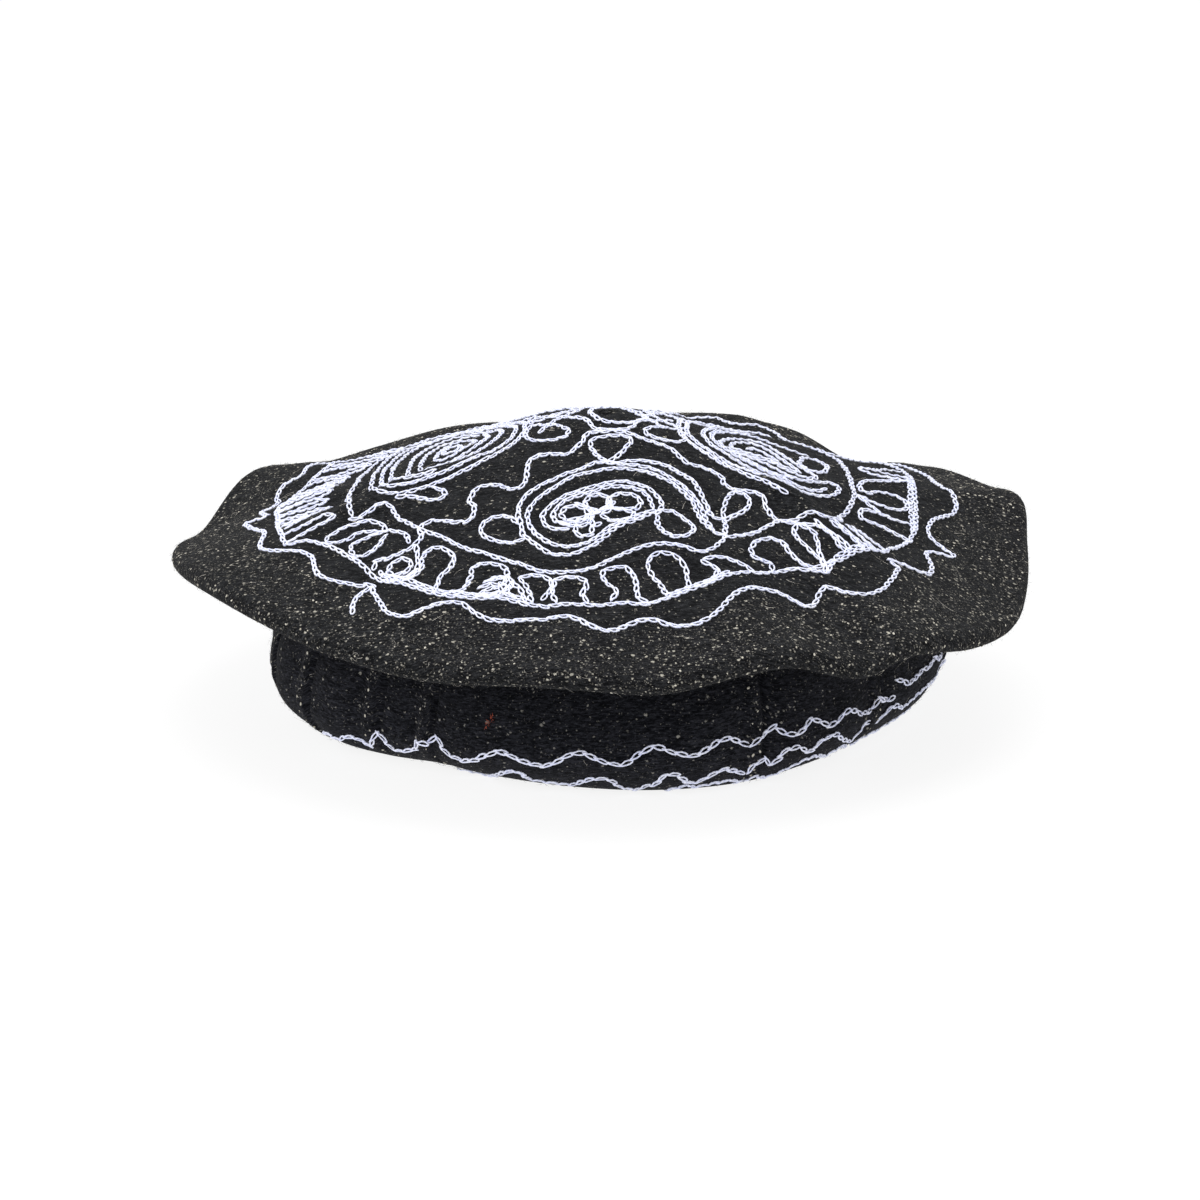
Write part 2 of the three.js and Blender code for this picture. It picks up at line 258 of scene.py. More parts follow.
PETALS = [
    [(-10, -60.3), (-7, -61.4), (-5.9, -64.2), (-7, -67.2), (-10, -68.4), (-13, -67.2), (-14.1, -64.2),
     (-13, -61.4), (-10, -60.3)],
    [(-9.5, -59), (-5.4, -61.5), (-4.4, -65), (-6, -69.2), (-10.5, -70.6), (-14.5, -68.6)],
    [(-2.6, -53.9), (0.4, -55), (1.5, -57.9), (0.2, -60.8), (-2.6, -62), (-5.6, -60.8), (-6.6, -57.9),
     (-5.5, -55), (-2.6, -53.9)],
    [(1.6, -55), (4, -53.2), (7.2, -52.6), (10.2, -54.6), (10.8, -58), (9.4, -60.6), (6, -61.2),
     (2.6, -60.6),
     (0.6, -58), (1.6, -55)],
    [(-1, -64.4), (1, -62.2), (4.6, -61.6), (8, -62.4), (8.8, -65), (6.4, -67), (2.6, -67.6), (0, -66.4),
     (-1, -64.4)],
    [(-12.5, -70.5), (-8, -67.8), (-4.2, -64.6), (-0.6, -61.2), (2.8, -57.6)],
    [(-12, -68), (-6.5, -65.4), (-2, -62.5), (1.5, -60)],
    [(-10, -70.5), (-9.6, -74.2), (-7.4, -75.8), (-5, -75), (-4.4, -72.2), (-3.2, -69.8), (-1.8, -69.6)],
    [(-3.6, -66.4), (-4.4, -68.4), (-3.4, -70.6)],
]

LEFT_PAISLEY = [
    [(-34, 38), (-28.5, 24), (-27, 8), (-27.5, -5), (-31, -15.5), (-38, -22.5), (-47, -29.5),
     (-56, -34.8),
     (-63, -38), (-70, -38.6), (-75, -35), (-77.3, -26), (-77.8, -12), (-77.5, 4), (-76, 20), (-71.5, 36),
     (-64, 49), (-54, 56), (-44, 53), (-34, 38)],
    [(-36, 34), (-31.5, 22), (-30.2, 8), (-30.6, -4), (-34, -13), (-41, -20), (-50, -27), (-58, -32),
     (-65, -35), (-71, -34.5), (-73.8, -28), (-74.6, -12), (-74.4, 4), (-72.8, 18), (-68.6, 33),
     (-62, 45),
     (-54, 51), (-46, 48.5), (-36, 34)],
    [(-56, -29), (-63, -31.5), (-68.5, -30.5), (-70.8, -24), (-71.4, -10), (-71, 6), (-69.4, 18),
     (-66, 29),
     (-60.5, 38)],
    [(-37, 26), (-35, 14), (-35.5, 2), (-39, -8), (-46, -15.5), (-54, -21), (-61, -22), (-65, -16),
     (-65.6, -4), (-64, 10), (-60, 22), (-54, 30), (-47, 31), (-41, 27), (-38, 20)],
    [(-41, 20), (-39.5, 10), (-41, 0), (-46, -8), (-53, -14), (-59, -14.5), (-61.5, -8), (-61, 2),
     (-58.5, 12), (-54, 20), (-48, 23.5), (-43, 21)],
    [(-45, 12), (-44, 4), (-48, -2), (-53, -6), (-56.5, -4), (-56, 4), (-53, 12), (-49, 16), (-45, 12)],
    [(-50, 8), (-48.5, 3), (-51.5, -0.5), (-54, 1), (-53, 7), (-50, 8)],
    [(-56.4, -36.6), (-53, -38.6), (-52.4, -42), (-55, -43.8), (-58.4, -42.6), (-62, -40.8), (-68, -40)],
]

RIGHT_PAISLEY = [
    [(57, 57), (52, 59), (46, 58), (39.2, 57), (33.5, 50), (28.9, 37), (25.8, 22), (24.4, 9.4),
     (24.3, -3), (25.1, -9.9),
     (28, -15.4), (31.8, -20.5), (37, -24.8), (41.9, -30), (46.8, -34.3), (50.7, -37.4), (54.7, -40.6),
     (58.8, -43.4)],
    [(42, 50), (36, 43), (31, 32), (28, 20), (27, 8), (27, -2), (28.2, -8.5), (31, -14), (35, -19.5),
     (40, -24), (45, -29), (50, -33.2)],
    [(68, 27), (57.1, 28), (50.7, 29), (44.3, 28), (39.2, 25.3), (34.4, 17), (32.5, 7.4), (33, -3),
     (35, -9.5), (38.5, -14), (43, -17.5), (48, -19.3), (53, -19.6), (58.5, -19.4), (64.1, -20.8),
     (70.4, -19.1), (75.4, -14.9), (77.2, -9), (74.8, -5.8), (70.9, -8.5), (65.2, -12.4), (59.9, -13.4)],
    [(40, 21), (36.5, 14), (35.3, 6), (36, -2), (38, -7.5), (41.5, -12), (46, -14.6), (52, -16.4),
     (58, -17), (64, -18), (69.5, -16.2), (73, -12.4)],
    [(38.7, -4), (38.4, 4), (41.9, 11), (47.5, 16.9), (53.9, 16.3), (59, 10), (64.9, 4), (69.8, -2.6),
     (68.5, -6.4), (66.1, -8.6), (60, -7.6), (54, -4.9), (47.5, -4.4), (42, -6.4), (38.7, -4)],
    [(42, 0), (43, 6.5), (48, 11.4), (53.6, 10.6), (58, 5.4), (63, -0.6), (64, -4), (59, -3.4),
     (53, -0.4), (47, -0.8), (42, 0)],
    [(46.5, 3), (50, 6.6), (53.6, 5), (57, 1)],
    [(42.6, -8.4), (47.8, -8.2), (53.8, -10), (58.6, -12.4), (60.4, -14.6), (55.8, -15.8), (49.3, -14.2),
     (44.6, -11.6), (42.6, -8.4)],
    [(65.2, 7.3), (65.4, 13), (66.8, 19), (70.6, 23), (73.6, 19), (74.4, 13), (72.6, 6.6), (68.6, 4.3),
     (65.2, 7.3)],
]

TOP_DROP = [
    (0.6, -34.4), (-2.3, -31.6), (-4.1, -28), (-5, -24.4), (-4.1, -20.7), (0.9, -19.2), (6.4, -19.2),
    (8.2, -21.6), (6.8, -25.3), (5, -28.9), (2.7, -32.5), (0.6, -34.4),
]

LEFT_BERRY = [
    (-28.4, -66), (-31, -62), (-34.5, -60.8), (-38.5, -62.5), (-40, -66), (-39, -70), (-36.5, -73),
    (-33.5, -75), (-29.5, -76.3), (-26.5, -75),
]

RIGHT_BERRY = [
    (17.2, -61.2), (21.3, -60.7), (24.2, -62.7), (27.2, -66.2), (28.1, -69.8), (27.2, -73.3),
    (24.8, -76.2),
    (21.9, -76.6), (18.9, -74.5), (16.9, -71.5), (16.3, -68), (16.6, -64.5), (17.2, -61.2),
]

CUSP_DROP = [
    (37.8, -60), (37.6, -56.2), (38.4, -51.5), (39.5, -48), (41.3, -44.6), (43.9, -43.6), (46.2, -46.2),
    (45.9, -50.7), (43.6, -54.4), (40.5, -57.5), (38.2, -60.4),
]

# Rings around the middle of the crown
CENTRE_RING = [
    (13.5, -0.5), (11.5, 6), (5.5, 9), (-1, 7.6), (-5, 3), (-4.6, -3.4), (-1.4, -8.2), (2.7, -10),
    (7.4, -9.4),
    (11.4, -6.2), (13.5, -0.5),
]

CENTRE_STAR = [
    (-19, 7.5), (-11.8, -1.6), (-6.4, -7.1), (-4.4, -12.6), (-1.5, -14.8), (2.8, -15.2), (6.8, -14),
    (9, -11), (10.9, -6.2), (16.4, 0.2), (21.8, 9.3),
]

STAR_DROPS = [
    [(-24.5, 0), (-26.5, -5), (-26.5, -10), (-24.5, -14.5), (-21, -17.3), (-17, -17.8), (-13.5, -16.4),
     (-12.5, -13), (-14, -9.5), (-17.5, -5.5), (-21.5, -2), (-24.5, 0)],
    [(13.2, -12.5), (14, -16), (18, -17.4), (22.5, -17), (25.5, -14.5), (25.8, -9), (25, -4),
     (21.5, -4.8),
     (17.5, -8), (14.5, -10.5), (13.2, -12.5)],
]

# The ring of the border that the loops stand on
BASE_LINE = [
    (-98.2, 44.4), (-102.7, 34.4), (-107.1, 25.6), (-108.6, 14.4), (-110, 1.1), (-109.3, -7.8),
    (-108.2, -18.9), (-107.7, -30), (-106, -41.1), (-104.3, -50), (-102.7, -54.4), (-97.1, -55.6),
    (-92.7, -58.9), (-87.1, -64.4), (-81.6, -72.2), (-77.1, -78), (-72.7, -85.6), (-64.5, -91.6),
    (-60.9, -95.3), (-56.4, -98.9), (-51.8, -101.6), (-45.5, -103), (-40, -105.3), (-34.5, -106.2),
    (-30, -108), (-24.5, -110.7), (-19.1, -112.3), (-15.5, -111.6), (-10.9, -110.7), (-4.5, -111.4),
    (0.9, -111), (7.3, -110.3), (12.7, -110.3), (18.2, -108), (22.7, -105.3), (27.3, -102.1),
    (30.9, -99.8), (35.5, -96.2), (40, -92.5), (44.5, -89.8), (49.1, -88), (53.6, -84.4), (59.1, -81.6),
    (64.5, -80.7), (70.2, -78.9), (72.4, -73.3), (76.9, -67.8), (80.2, -63.3), (84.7, -59.4),
    (89.1, -55.6), (91.9, -47.8), (94.7, -41.1), (96.9, -35.6), (100.2, -27.8), (102.4, -18.9),
    (103, -7.8), (103.6, 3.3), (103.8, 14.4), (103.8, 25.6), (103.6, 36.7), (102, 47),
]

# A second row beside it, where it was sewn twice
BASE_DOUBLE = [
    [(-70.5, -84.2), (-63, -89.8), (-57.5, -95.5), (-51.5, -99.6), (-46, -100.8), (-40.5, -102.8),
     (-34, -104.2), (-29, -106.2), (-23.5, -109.6)],
    [(19, -105.6), (24, -103), (29, -99.4), (34, -95.4), (38.5, -91.6)],
    [(66, -78.8), (70.6, -74.8), (74.6, -68), (79, -62.2), (83, -58.6)],
    [(73.6, -50), (78, -54), (82, -57.2), (86, -58)],
    [(101, -24), (101.4, -14), (101.6, -3), (102.2, 8), (102.4, 20), (102, 32)],
]

# The loops of the border in front
LOOPS = [
    [(-61, -89.5), (-58.8, -86), (-58.5, -80), (-57, -76), (-54.5, -74), (-51.5, -75.5), (-49, -79),
     (-48.3, -83), (-50, -87.5), (-52.3, -91), (-53.3, -95), (-53.6, -98.5)],
    [(-47.5, -100.5), (-44, -97.5), (-42.6, -92.5), (-42, -88.5), (-39.5, -86.2), (-35.5, -86.8),
     (-32, -89.5), (-31, -93), (-31.3, -97)],
    [(-23, -110), (-23.6, -106), (-25, -101), (-26.8, -96.3), (-23, -95.5), (-19.5, -97), (-17.2, -100),
     (-17.8, -104.5), (-20, -108.5)],
    [(-15.7, -110), (-16.6, -105), (-16, -100), (-14.5, -98.3), (-10.5, -98), (-7.5, -99), (-6.2, -102),
     (-7.3, -105.5), (-6, -109.8)],
    [(1.8, -108.9), (3.2, -104.4), (0, -99.8), (-0.9, -95.3), (2.7, -92.1), (6.4, -92.1), (8.6, -96.2),
     (9.5, -101.6), (10, -107.1), (12.3, -109.4)],
    [(19.1, -106.2), (17.3, -100.7), (14.5, -96.2), (13.2, -90.7), (15, -86.6), (18.6, -85.3),
     (22.7, -87.1), (25, -91.6), (25.5, -96.2), (26.4, -100.7)],
    [(32.7, -98.9), (35, -91.6), (31.4, -88), (32.7, -85.7), (38.2, -84.4), (42.7, -85.7), (46.4, -88.5)],
    [(52.7, -84.4), (51.8, -80.7), (47.3, -79.8), (46.4, -75.3), (48.2, -70.7), (52.7, -68),
     (56.4, -69.8),
     (59.1, -74.4), (62.7, -78), (66.4, -78.9)],
    [(61, -56.5), (60.3, -61), (62, -66), (65.5, -70.5), (69, -74.5), (70, -79)],
    [(62, -56), (66.5, -58.5), (67.8, -64), (68.3, -70), (69.5, -76)],
    [(57, -56.2), (64, -55.3), (69, -55.3), (73, -58), (74.8, -62.5), (77.5, -64.8)],
    [(-89.6, -59.5), (-89.4, -56.8), (-85.8, -53.6), (-80.9, -51.3), (-77, -50.4), (-72.7, -52.8),
     (-71.3, -56.5), (-72.6, -59.2), (-75.8, -57), (-80, -57), (-83.5, -59.6), (-87.4, -60.8),
     (-89.6, -59.5)],
    [(-70.5, -61.7), (-71.6, -63.6), (-72.6, -67.3), (-74.9, -70.3), (-77.7, -72), (-80.5, -70.5),
     (-81.7, -65.7), (-79.7, -62.3), (-75.9, -60.2), (-72.6, -58.3), (-69.7, -58.5), (-65.5, -61.5),
     (-63.7, -65), (-62.8, -68.8)],
    [(-59.9, -61.2), (-59.1, -65.6), (-60.8, -70.5), (-64, -74.1), (-68.7, -76.3), (-72.7, -76.3),
     (-73.6, -80.6)],
    [(-65.4, -78.6), (-62.6, -79.8), (-61.8, -82.4), (-63, -85), (-65.4, -86), (-68, -85), (-69, -82.4),
     (-68, -79.8), (-65.4, -78.6)],
    [(-60.5, -71.5), (-60, -77), (-59.8, -84), (-61.4, -88), (-65.6, -89.4), (-70, -87), (-71.6, -82)],
    [(-71, -84), (-67, -87.4), (-63, -88.6), (-60.5, -86)],
]

# Thread that was left in a tangle on the border
TANGLES = [
    [(-38, -97), (-35, -94.6), (-31.6, -96.4), (-33, -100), (-37, -101), (-39.4, -104), (-34.6, -104.6),
     (-31, -101.6), (-33.4, -98)],
    [(-40, -99.5), (-36, -98), (-33, -102), (-36.4, -104.6), (-40, -103)],
    [(-30, -99), (-27.5, -101.5), (-26, -105.5), (-25.4, -108.6)],
    [(-37, -96), (-32, -94.8), (-29.4, -98.6), (-31, -103.4), (-28.4, -107)],
]

# The outermost line
ZIGZAG = [
    (-102, 62), (-103.8, 55.6), (-104.9, 47.8), (-110.4, 44.4), (-112.7, 36.7), (-111.6, 28.9),
    (-113.8, 21.1), (-116, 10), (-113.8, -2.2), (-116, -3.3), (-120, -4.4), (-119.6, -8.9),
    (-117.1, -17.8),
    (-113.8, -26.7), (-111.6, -34.4), (-112.1, -41.1), (-112.1, -48.9), (-109.3, -53.9), (-103.8, -58.3),
    (-98.2, -62.2), (-94.3, -66.7), (-93.2, -73.3), (-91.6, -80), (-87.7, -84.4), (-82.7, -86.1),
    (-78.2, -88.3), (-74.3, -88.9), (-73.2, -93.3), (-71, -100), (-68.8, -106.7), (-66, -109.6),
    (-61.4, -111.2), (-56.4, -108.5), (-50, -106), (-45.5, -106.6), (-42.7, -110.3), (-39.1, -114.4),
    (-35.5, -117.1), (-30, -118.5), (-24.5, -118), (-19.1, -118.5), (-13.6, -117.5), (-9.1, -118.9),
    (-6.4, -121.2), (-3, -123.4), (0, -124), (3.5, -122.8), (6.4, -120.7), (10, -118.5), (14.5, -118),
    (20, -119.8), (24.5, -120.3), (29.1, -118.9), (33.6, -115.3), (36.9, -110), (40.2, -104.4),
    (44.7, -99.4), (50.2, -96.7), (55.8, -96.7), (60.2, -98.3), (63.6, -98.9), (65.8, -95.6), (68, -90),
    (70.2, -87.8), (75.8, -88.9), (81.3, -87.8), (84.7, -85.6), (88, -81.1), (90.2, -75.6), (92.4, -68.9),
    (93.6, -62.2), (91.3, -59.4), (95.8, -56.7), (101.3, -55.6), (104.7, -53.3), (105.8, -45.6),
    (104.7, -38.9), (105.8, -34.4), (110.2, -32.2), (114.1, -29.4), (110.8, -25.6), (107.4, -22.2),
    (106.9, -15.6), (109.1, -7.8), (112.4, -2.2), (116.3, 4.4), (118, 11.1), (116.9, 18.9), (114.1, 23.3),
    (112.4, 33.3), (111.3, 43.3), (108, 52), (104, 60),
]

# A loose end of thread
TAIL = [(-74.3, -89.4), (-78.2, -94.4), (-79.6, -100), (-79.2, -104)]

# Loops of the border at the right and the lowest one at the left
SIDE_ROWS = [
    [(99.7, -17.8), (94.7, -18.9), (90.2, -17.8), (85.8, -18.9), (83.6, -22.2), (84.7, -26.1),
     (90.2, -26.7),
     (95.8, -28.3), (99.5, -30)],
    [(85.2, -2.8), (87.4, -2.2), (91.3, 1.7), (95.8, 3.9), (99.7, 2.2), (100.8, -3.3), (98, -7.8),
     (93.6, -10), (88, -10), (83.6, -8.9), (85.8, -12.2), (90.2, -16.7)],
    [(100.2, 17.8), (95.8, 15.6), (90.2, 12.2), (86.3, 7.8), (84.7, 2.2), (85.2, -2.8)],
    [(86.9, 24.4), (91.3, 31.1), (95.8, 40), (101, 44)],
    [(102.5, 20), (96, 19.5), (89, 20), (86, 23), (88, 27), (95, 28.5), (102, 29)],
    [(67.7, -52.9), (71.5, -56.7), (75.3, -59.6), (78.2, -62.9)],
    [(72.4, -51.6), (76.7, -54.5), (80.1, -57.4), (83.2, -60.4)],
    [(77.8, -48.5), (81.3, -51.6), (84.1, -55.1), (86.8, -56.8)],
    [(80, -42), (84.8, -49), (87.6, -51.6), (90, -52.6)],
    [(-103, -53), (-97, -50), (-90.4, -47.8), (-88.6, -45.6), (-91.6, -43.3), (-98, -45),
     (-104.4, -44.4)],
]

# Loops of the border at the left and the back: angle, outer and inner radius, and width
SIDE_LOOPS = [
    (33, 107, 88, 9),
    (41, 108, 88, 11),
    (51, 108, 86, 9),
    (61, 108, 88, 12),
    (72, 109, 88, 9),
    (83, 110, 90, 11),
    (94, 110, 88, 10),
    (105, 109, 89, 12),
    (116, 108, 88, 9),
    (127, 107, 86, 11),
    (138, 106, 86, 9),
    (147, 106, 84, 8),
    (154, 107, 84, 7),
    (160, 108, 86, 6),
    (166, 109, 90, 6),
    (171, 110, 90, 5),
    (176, 110, 91, 5),
    (181, 110, 92, 5),
    (185.5, 110, 93, 5),
    (190, 110, 93, 5),
    (194.5, 110, 94, 5),
    (199, 111, 96, 5),
]

# Chain stitch on the band: angle, and percent of the way from the foot to the crest
BAND_ROWS = [
    [(-152, 20), (-149, 24), (-146.5, 22), (-143, 29), (-140.5, 28), (-139.2, 25), (-138, 27), (-137, 31),
     (-136, 37), (-135.5, 39.5), (-134.4, 34), (-133.7, 26), (-132, 25), (-130, 28), (-127.5, 32),
     (-126.5, 38),
     (-124, 40), (-122.8, 42), (-121.5, 41.5), (-120.6, 37), (-119, 32.5), (-116.5, 30.5), (-113.7, 34),
     (-111.3, 39),
     (-108.7, 41.3), (-106, 39.5), (-104, 36.7), (-101, 34.6), (-98.7, 38), (-97, 41.5), (-94, 43.2),
     (-91.2, 41), (-87.5, 38.8), (-85.3, 42.2), (-83, 45), (-81.2, 46), (-78.7, 43.6), (-75.3, 41.8),
     (-72.8, 44.3), (-70.6, 46.8), (-68.7, 47), (-66.6, 44.3), (-64.9, 43), (-63.4, 46), (-61.9, 47.4),
     (-60.3, 48.7), (-59.2, 46.8), (-56.9, 44.6), (-54.7, 45.7), (-53.1, 48.5), (-50.9, 46.8),
     (-48.4, 44), (-45.9, 45.7),
     (-44, 47.4), (-41.9, 46.4), (-39.4, 43.6), (-36.2, 42.2), (-35.1, 43.6), (-33, 45.7),
     (-31.9, 43.6), (-29, 42.6), (-28.1, 43.6)],
    [(-27.5, 49.8), (-25.3, 48.2), (-23.7, 45.7), (-21.2, 45.7), (-18.1, 46.8), (-15, 46.4), (-12, 48),
     (-9, 45), (-5, 47), (-1, 44)],
    [(-121, 12), (-118.5, 8), (-116.5, 5), (-115, 4), (-113.7, 10), (-111.2, 16.6), (-109.4, 21.5),
     (-107.2, 25.6), (-105.6, 24), (-104.6, 17.3),
     (-102.5, 15), (-100, 13), (-96.9, 11.8), (-95, 16.6), (-93.1, 22), (-90.8, 24), (-89.2, 22),
     (-88.1, 16.6), (-86.9, 12.5), (-84.7, 8), (-83.1, 13.8), (-81.2, 19.4), (-80.4, 26.3), (-78.7, 29),
     (-77.2, 25.6), (-75.9, 20), (-74.7, 18), (-73.4, 19.4), (-71.9, 24.2), (-70, 28.4), (-68.4, 27.7),
     (-65.9, 22.8), (-65, 21.5)],
    [(-64.7, 22), (-63.7, 30.5), (-61.6, 31.8), (-60.9, 27.7), (-59.4, 29.8), (-58.7, 35.3), (-56.6, 38),
     (-55, 36), (-52.8, 31.8), (-51.2, 35.3), (-49.7, 38), (-46.9, 38.8), (-45, 34.6), (-42.5, 29),
     (-40.3, 26.3), (-38.7, 31.8), (-36.9, 35.3), (-35, 34)],
    [(-32, 30), (-29.5, 36), (-27.5, 37.4), (-25.6, 34.6), (-23.1, 31.8), (-19, 34), (-15, 36),
     (-10, 33)],
    [(-78.4, 5), (-75.4, 13.5), (-73.5, 9), (-70.6, 12.5), (-66.6, 12.5), (-65, 8), (-62, 13), (-59, 9),
     (-55.5, 18), (-52.5, 23), (-49.5, 23), (-46, 18), (-42, 22), (-38, 16)],
]

# Camera: degrees and millimetres, and how far it sees in metres
CAMERA_ELEVATION = 17
CAMERA_DISTANCE = 1554
CAMERA_TILT = 1.324
CAMERA_PAN = 0.075
CAMERA_LENS = 137.6
SENSOR = 36
CAMERA_SIGHT = 50


# Shape of the crown and the band


def around(rows, column):
    """A smooth closed curve through one column of a table."""
    angles = np.array([row[0] for row in rows], float)
    values = np.array([row[column] for row in rows], float)
    angles_x = np.concatenate([angles[-2:] - 360, angles, angles[:3] + 360])
    values_x = np.concatenate([values[-2:], values, values[:3]])

    def value(at):
        a = np.mod(np.asarray(at, float) - angles[0], 360) + angles[0]
        k = np.searchsorted(angles_x, a, side="right") - 1
        x0, x1, x2, x3 = (angles_x[k + i] for i in (-1, 0, 1, 2))
        y0, y1, y2, y3 = (values_x[k + i] for i in (-1, 0, 1, 2))
        span = x2 - x1
        t = (a - x1) / span
        s1 = (y2 - y0) / (x2 - x0) * span
        s2 = (y3 - y1) / (x3 - x1) * span
        rise = y2 - y1
        return y1 + t * (s1 + t * (3 * rise - 2 * s1 - s2 + t * (s1 + s2 - 2 * rise)))

    return value


rim_reach = around(RIM, 1)
rim_rise = around(RIM, 2)
rim_fullness = around(RIM, 3)
band_foot = around(BAND, 1)
band_swell = around(BAND, 2)
band_belly = around(BAND, 3)


def turn_between(a, b):
    return np.mod(a - b + 180, 360) - 180


def lerp(a, b, t):
    return a + (b - a) * t


def smooth(t):
    t = np.clip(t, 0, 1)
    return t * t * (3 - 2 * t)


def waves(count, shortest, longest):
    """A soft random field over the plan, from a few long waves."""
    rows = []
    for _ in range(count):
        length = rng.uniform(shortest, longest)
        heading = rng.uniform(0, 2 * math.pi)
        pulse = 2 * math.pi / length
        rows.append((pulse * math.cos(heading), pulse * math.sin(heading), rng.uniform(0, 2 * math.pi)))

    def value(x, y):
        total = 0 * x
        for kx, ky, phase in rows:
            total = total + np.sin(kx * x + ky * y + phase)
        return total / math.sqrt(count)

    return value


soft_rumple = waves(14, 24, 60)
fine_rumple = waves(18, 9, 18)


def polar(radius, at, z):
    angle = np.radians(at)
    return np.stack([radius * np.cos(angle), radius * np.sin(angle), z + 0 * radius], -1)


def fold_radius(at):
    return CROWN_RADIUS * rim_reach(at) - FOLD - HALF


def fold_height(at):
    return RIM_HEIGHT + RIM_WAVE * rim_rise(at)


def crease_height(share, at):
    total = 0 * share * at
    for place, start, end, width, height in CREASES:
        along = np.clip((share - start) / (end - start), 0, 1)
        across = turn_between(at, place) / width
        total = total + height * np.sin(np.pi * along) * np.exp(-across * across)
    return CREASE_DEPTH * total


def crown_top(share, at):
    """Outer face of the crown's top, from its centre to the rim."""
    radius = fold_radius(at) * share
    rim_top = fold_height(at) + FOLD + HALF
    base = RIM_HEIGHT + (rim_top - RIM_HEIGHT) * share * share
    tip = TIP_ROUNDING
    settled = (np.sqrt(share * share + tip * tip) - tip) / (math.sqrt(1 + tip * tip) - tip)
    z = base + (CROWN_HEIGHT - base) * (1 - settled) * (1 + rim_fullness(at) * settled)
    z = z + crease_height(share, at)
    point = polar(radius, at, z)
    calm = smooth(share / 0.25) * smooth((1 - share) / 0.12)
    x, y = point[..., 0], point[..., 1]
    point[..., 2] = z + calm * (CROWN_LUMPS * soft_rumple(x, y) + SMALL_LUMPS * fine_rumple(x, y))
    return point


def crown_edge(v, at):
    """The folded rim, from the top to the underside."""
    angle = np.radians(90 - 180 * v)
    reach = FOLD + HALF
    return polar(fold_radius(at) + reach * np.cos(angle), at, fold_height(at) + reach * np.sin(angle))


def band_inside(at):
    return BAND_RADIUS * band_foot(at) - BAND_FOOT


def crown_under(v, at):
    """The underside, from the rim to the place where it turns down."""
    seat = BAND_HEIGHT + CLEARANCE + HALF
    wall = band_inside(at) - CLEARANCE - HALF + WALL_BEND
    low = fold_height(at) - FOLD
    z = low + (seat - low) * smooth(v / 0.8) - HALF
    return polar(lerp(fold_radius(at), wall, v), at, z)


def crown_shoulder(v, at):
    wall = band_inside(at) - CLEARANCE - HALF
    seat = BAND_HEIGHT + CLEARANCE + HALF
    angle = np.radians(90 + 90 * v)
    bend = WALL_BEND - HALF
    return polar(wall + WALL_BEND + bend * np.cos(angle), at, seat - WALL_BEND + bend * np.sin(angle))


def crown_wall(v, at):
    wall = band_inside(at) - CLEARANCE
    start = BAND_HEIGHT + CLEARANCE + HALF - WALL_BEND
    return polar(wall + 0 * v, at, lerp(start, WALL_FOOT, v))


def tuck_offset(at, height, depth):
    """How far the tucks move the band's outer face, with a groove beside each. Height is a share."""
    total = 0 * at * height
    for place, lean in TUCKS:
        along = np.radians(turn_between(at, place + lean * (height - BELLY_SHARE))) * BAND_RADIUS
        half = TUCK_WIDTH / 2
        ridge = smooth((along + half * 1.5) / (half * 1.2)) * smooth((half * 1.05 - along) / (half * 0.35))
        groove = depth * np.exp(-(((along - TUCK_WIDTH * 0.5) / TUCK_SHADOW) ** 2))
        total = total + TUCK_HEIGHT * ridge - groove - TUCK_PINCH * np.exp(-((along / TUCK_SPREAD) ** 2))
    return total


def band_face(v, at, depth=TUCK_GROOVE):
    """Outer face of the band: v is 0 at the foot, BELLY_SHARE at the belly and 1 at the crest."""
    half = BAND_WALL / 2
    foot = BAND_RADIUS * band_foot(at)
    height = BAND_HEIGHT * band_belly(at)
    fade = lerp(0.35, 1, smooth(v / 0.1)) * smooth((1.15 - v) / 0.3)
    belly = foot + BAND_SWELL * band_swell(at) + tuck_offset(at, v, depth) * fade
    inner = band_inside(at) + half
    crest = inner + CREST_SHARE * (belly - half - inner)
    q = np.clip(v / BELLY_SHARE, 0, 1)
    flare_x = foot + FLARE_REACH * (belly - foot)
    flare_z = FLARE_HEIGHT * height
    r_low = (1 - q) ** 2 * foot + 2 * q * (1 - q) * flare_x + q * q * belly
    z_low = 2 * q * (1 - q) * flare_z + q * q * height
    e = np.clip((v - BELLY_SHARE) / (1 - BELLY_SHARE), 0, 1) * np.pi / 2
    r_high = crest + (belly - crest) * np.cos(e)
    z_high = height + (BAND_HEIGHT - height) * np.sin(e)
    radius = np.where(v < BELLY_SHARE, r_low, r_high)
    z = np.where(v < BELLY_SHARE, z_low, z_high)
    point = polar(radius, at, z)
    calm = smooth(v / 0.15) * smooth((1 - v) / 0.15)
    arc = np.radians(at) * BAND_RADIUS
    lump = calm * (BAND_LUMPS * soft_rumple(arc, z * 1.5) + SMALL_LUMPS * fine_rumple(arc, z))
    angle = np.radians(at)
    point[..., 0] += lump * np.cos(angle)
    point[..., 1] += lump * np.sin(angle)
    return point


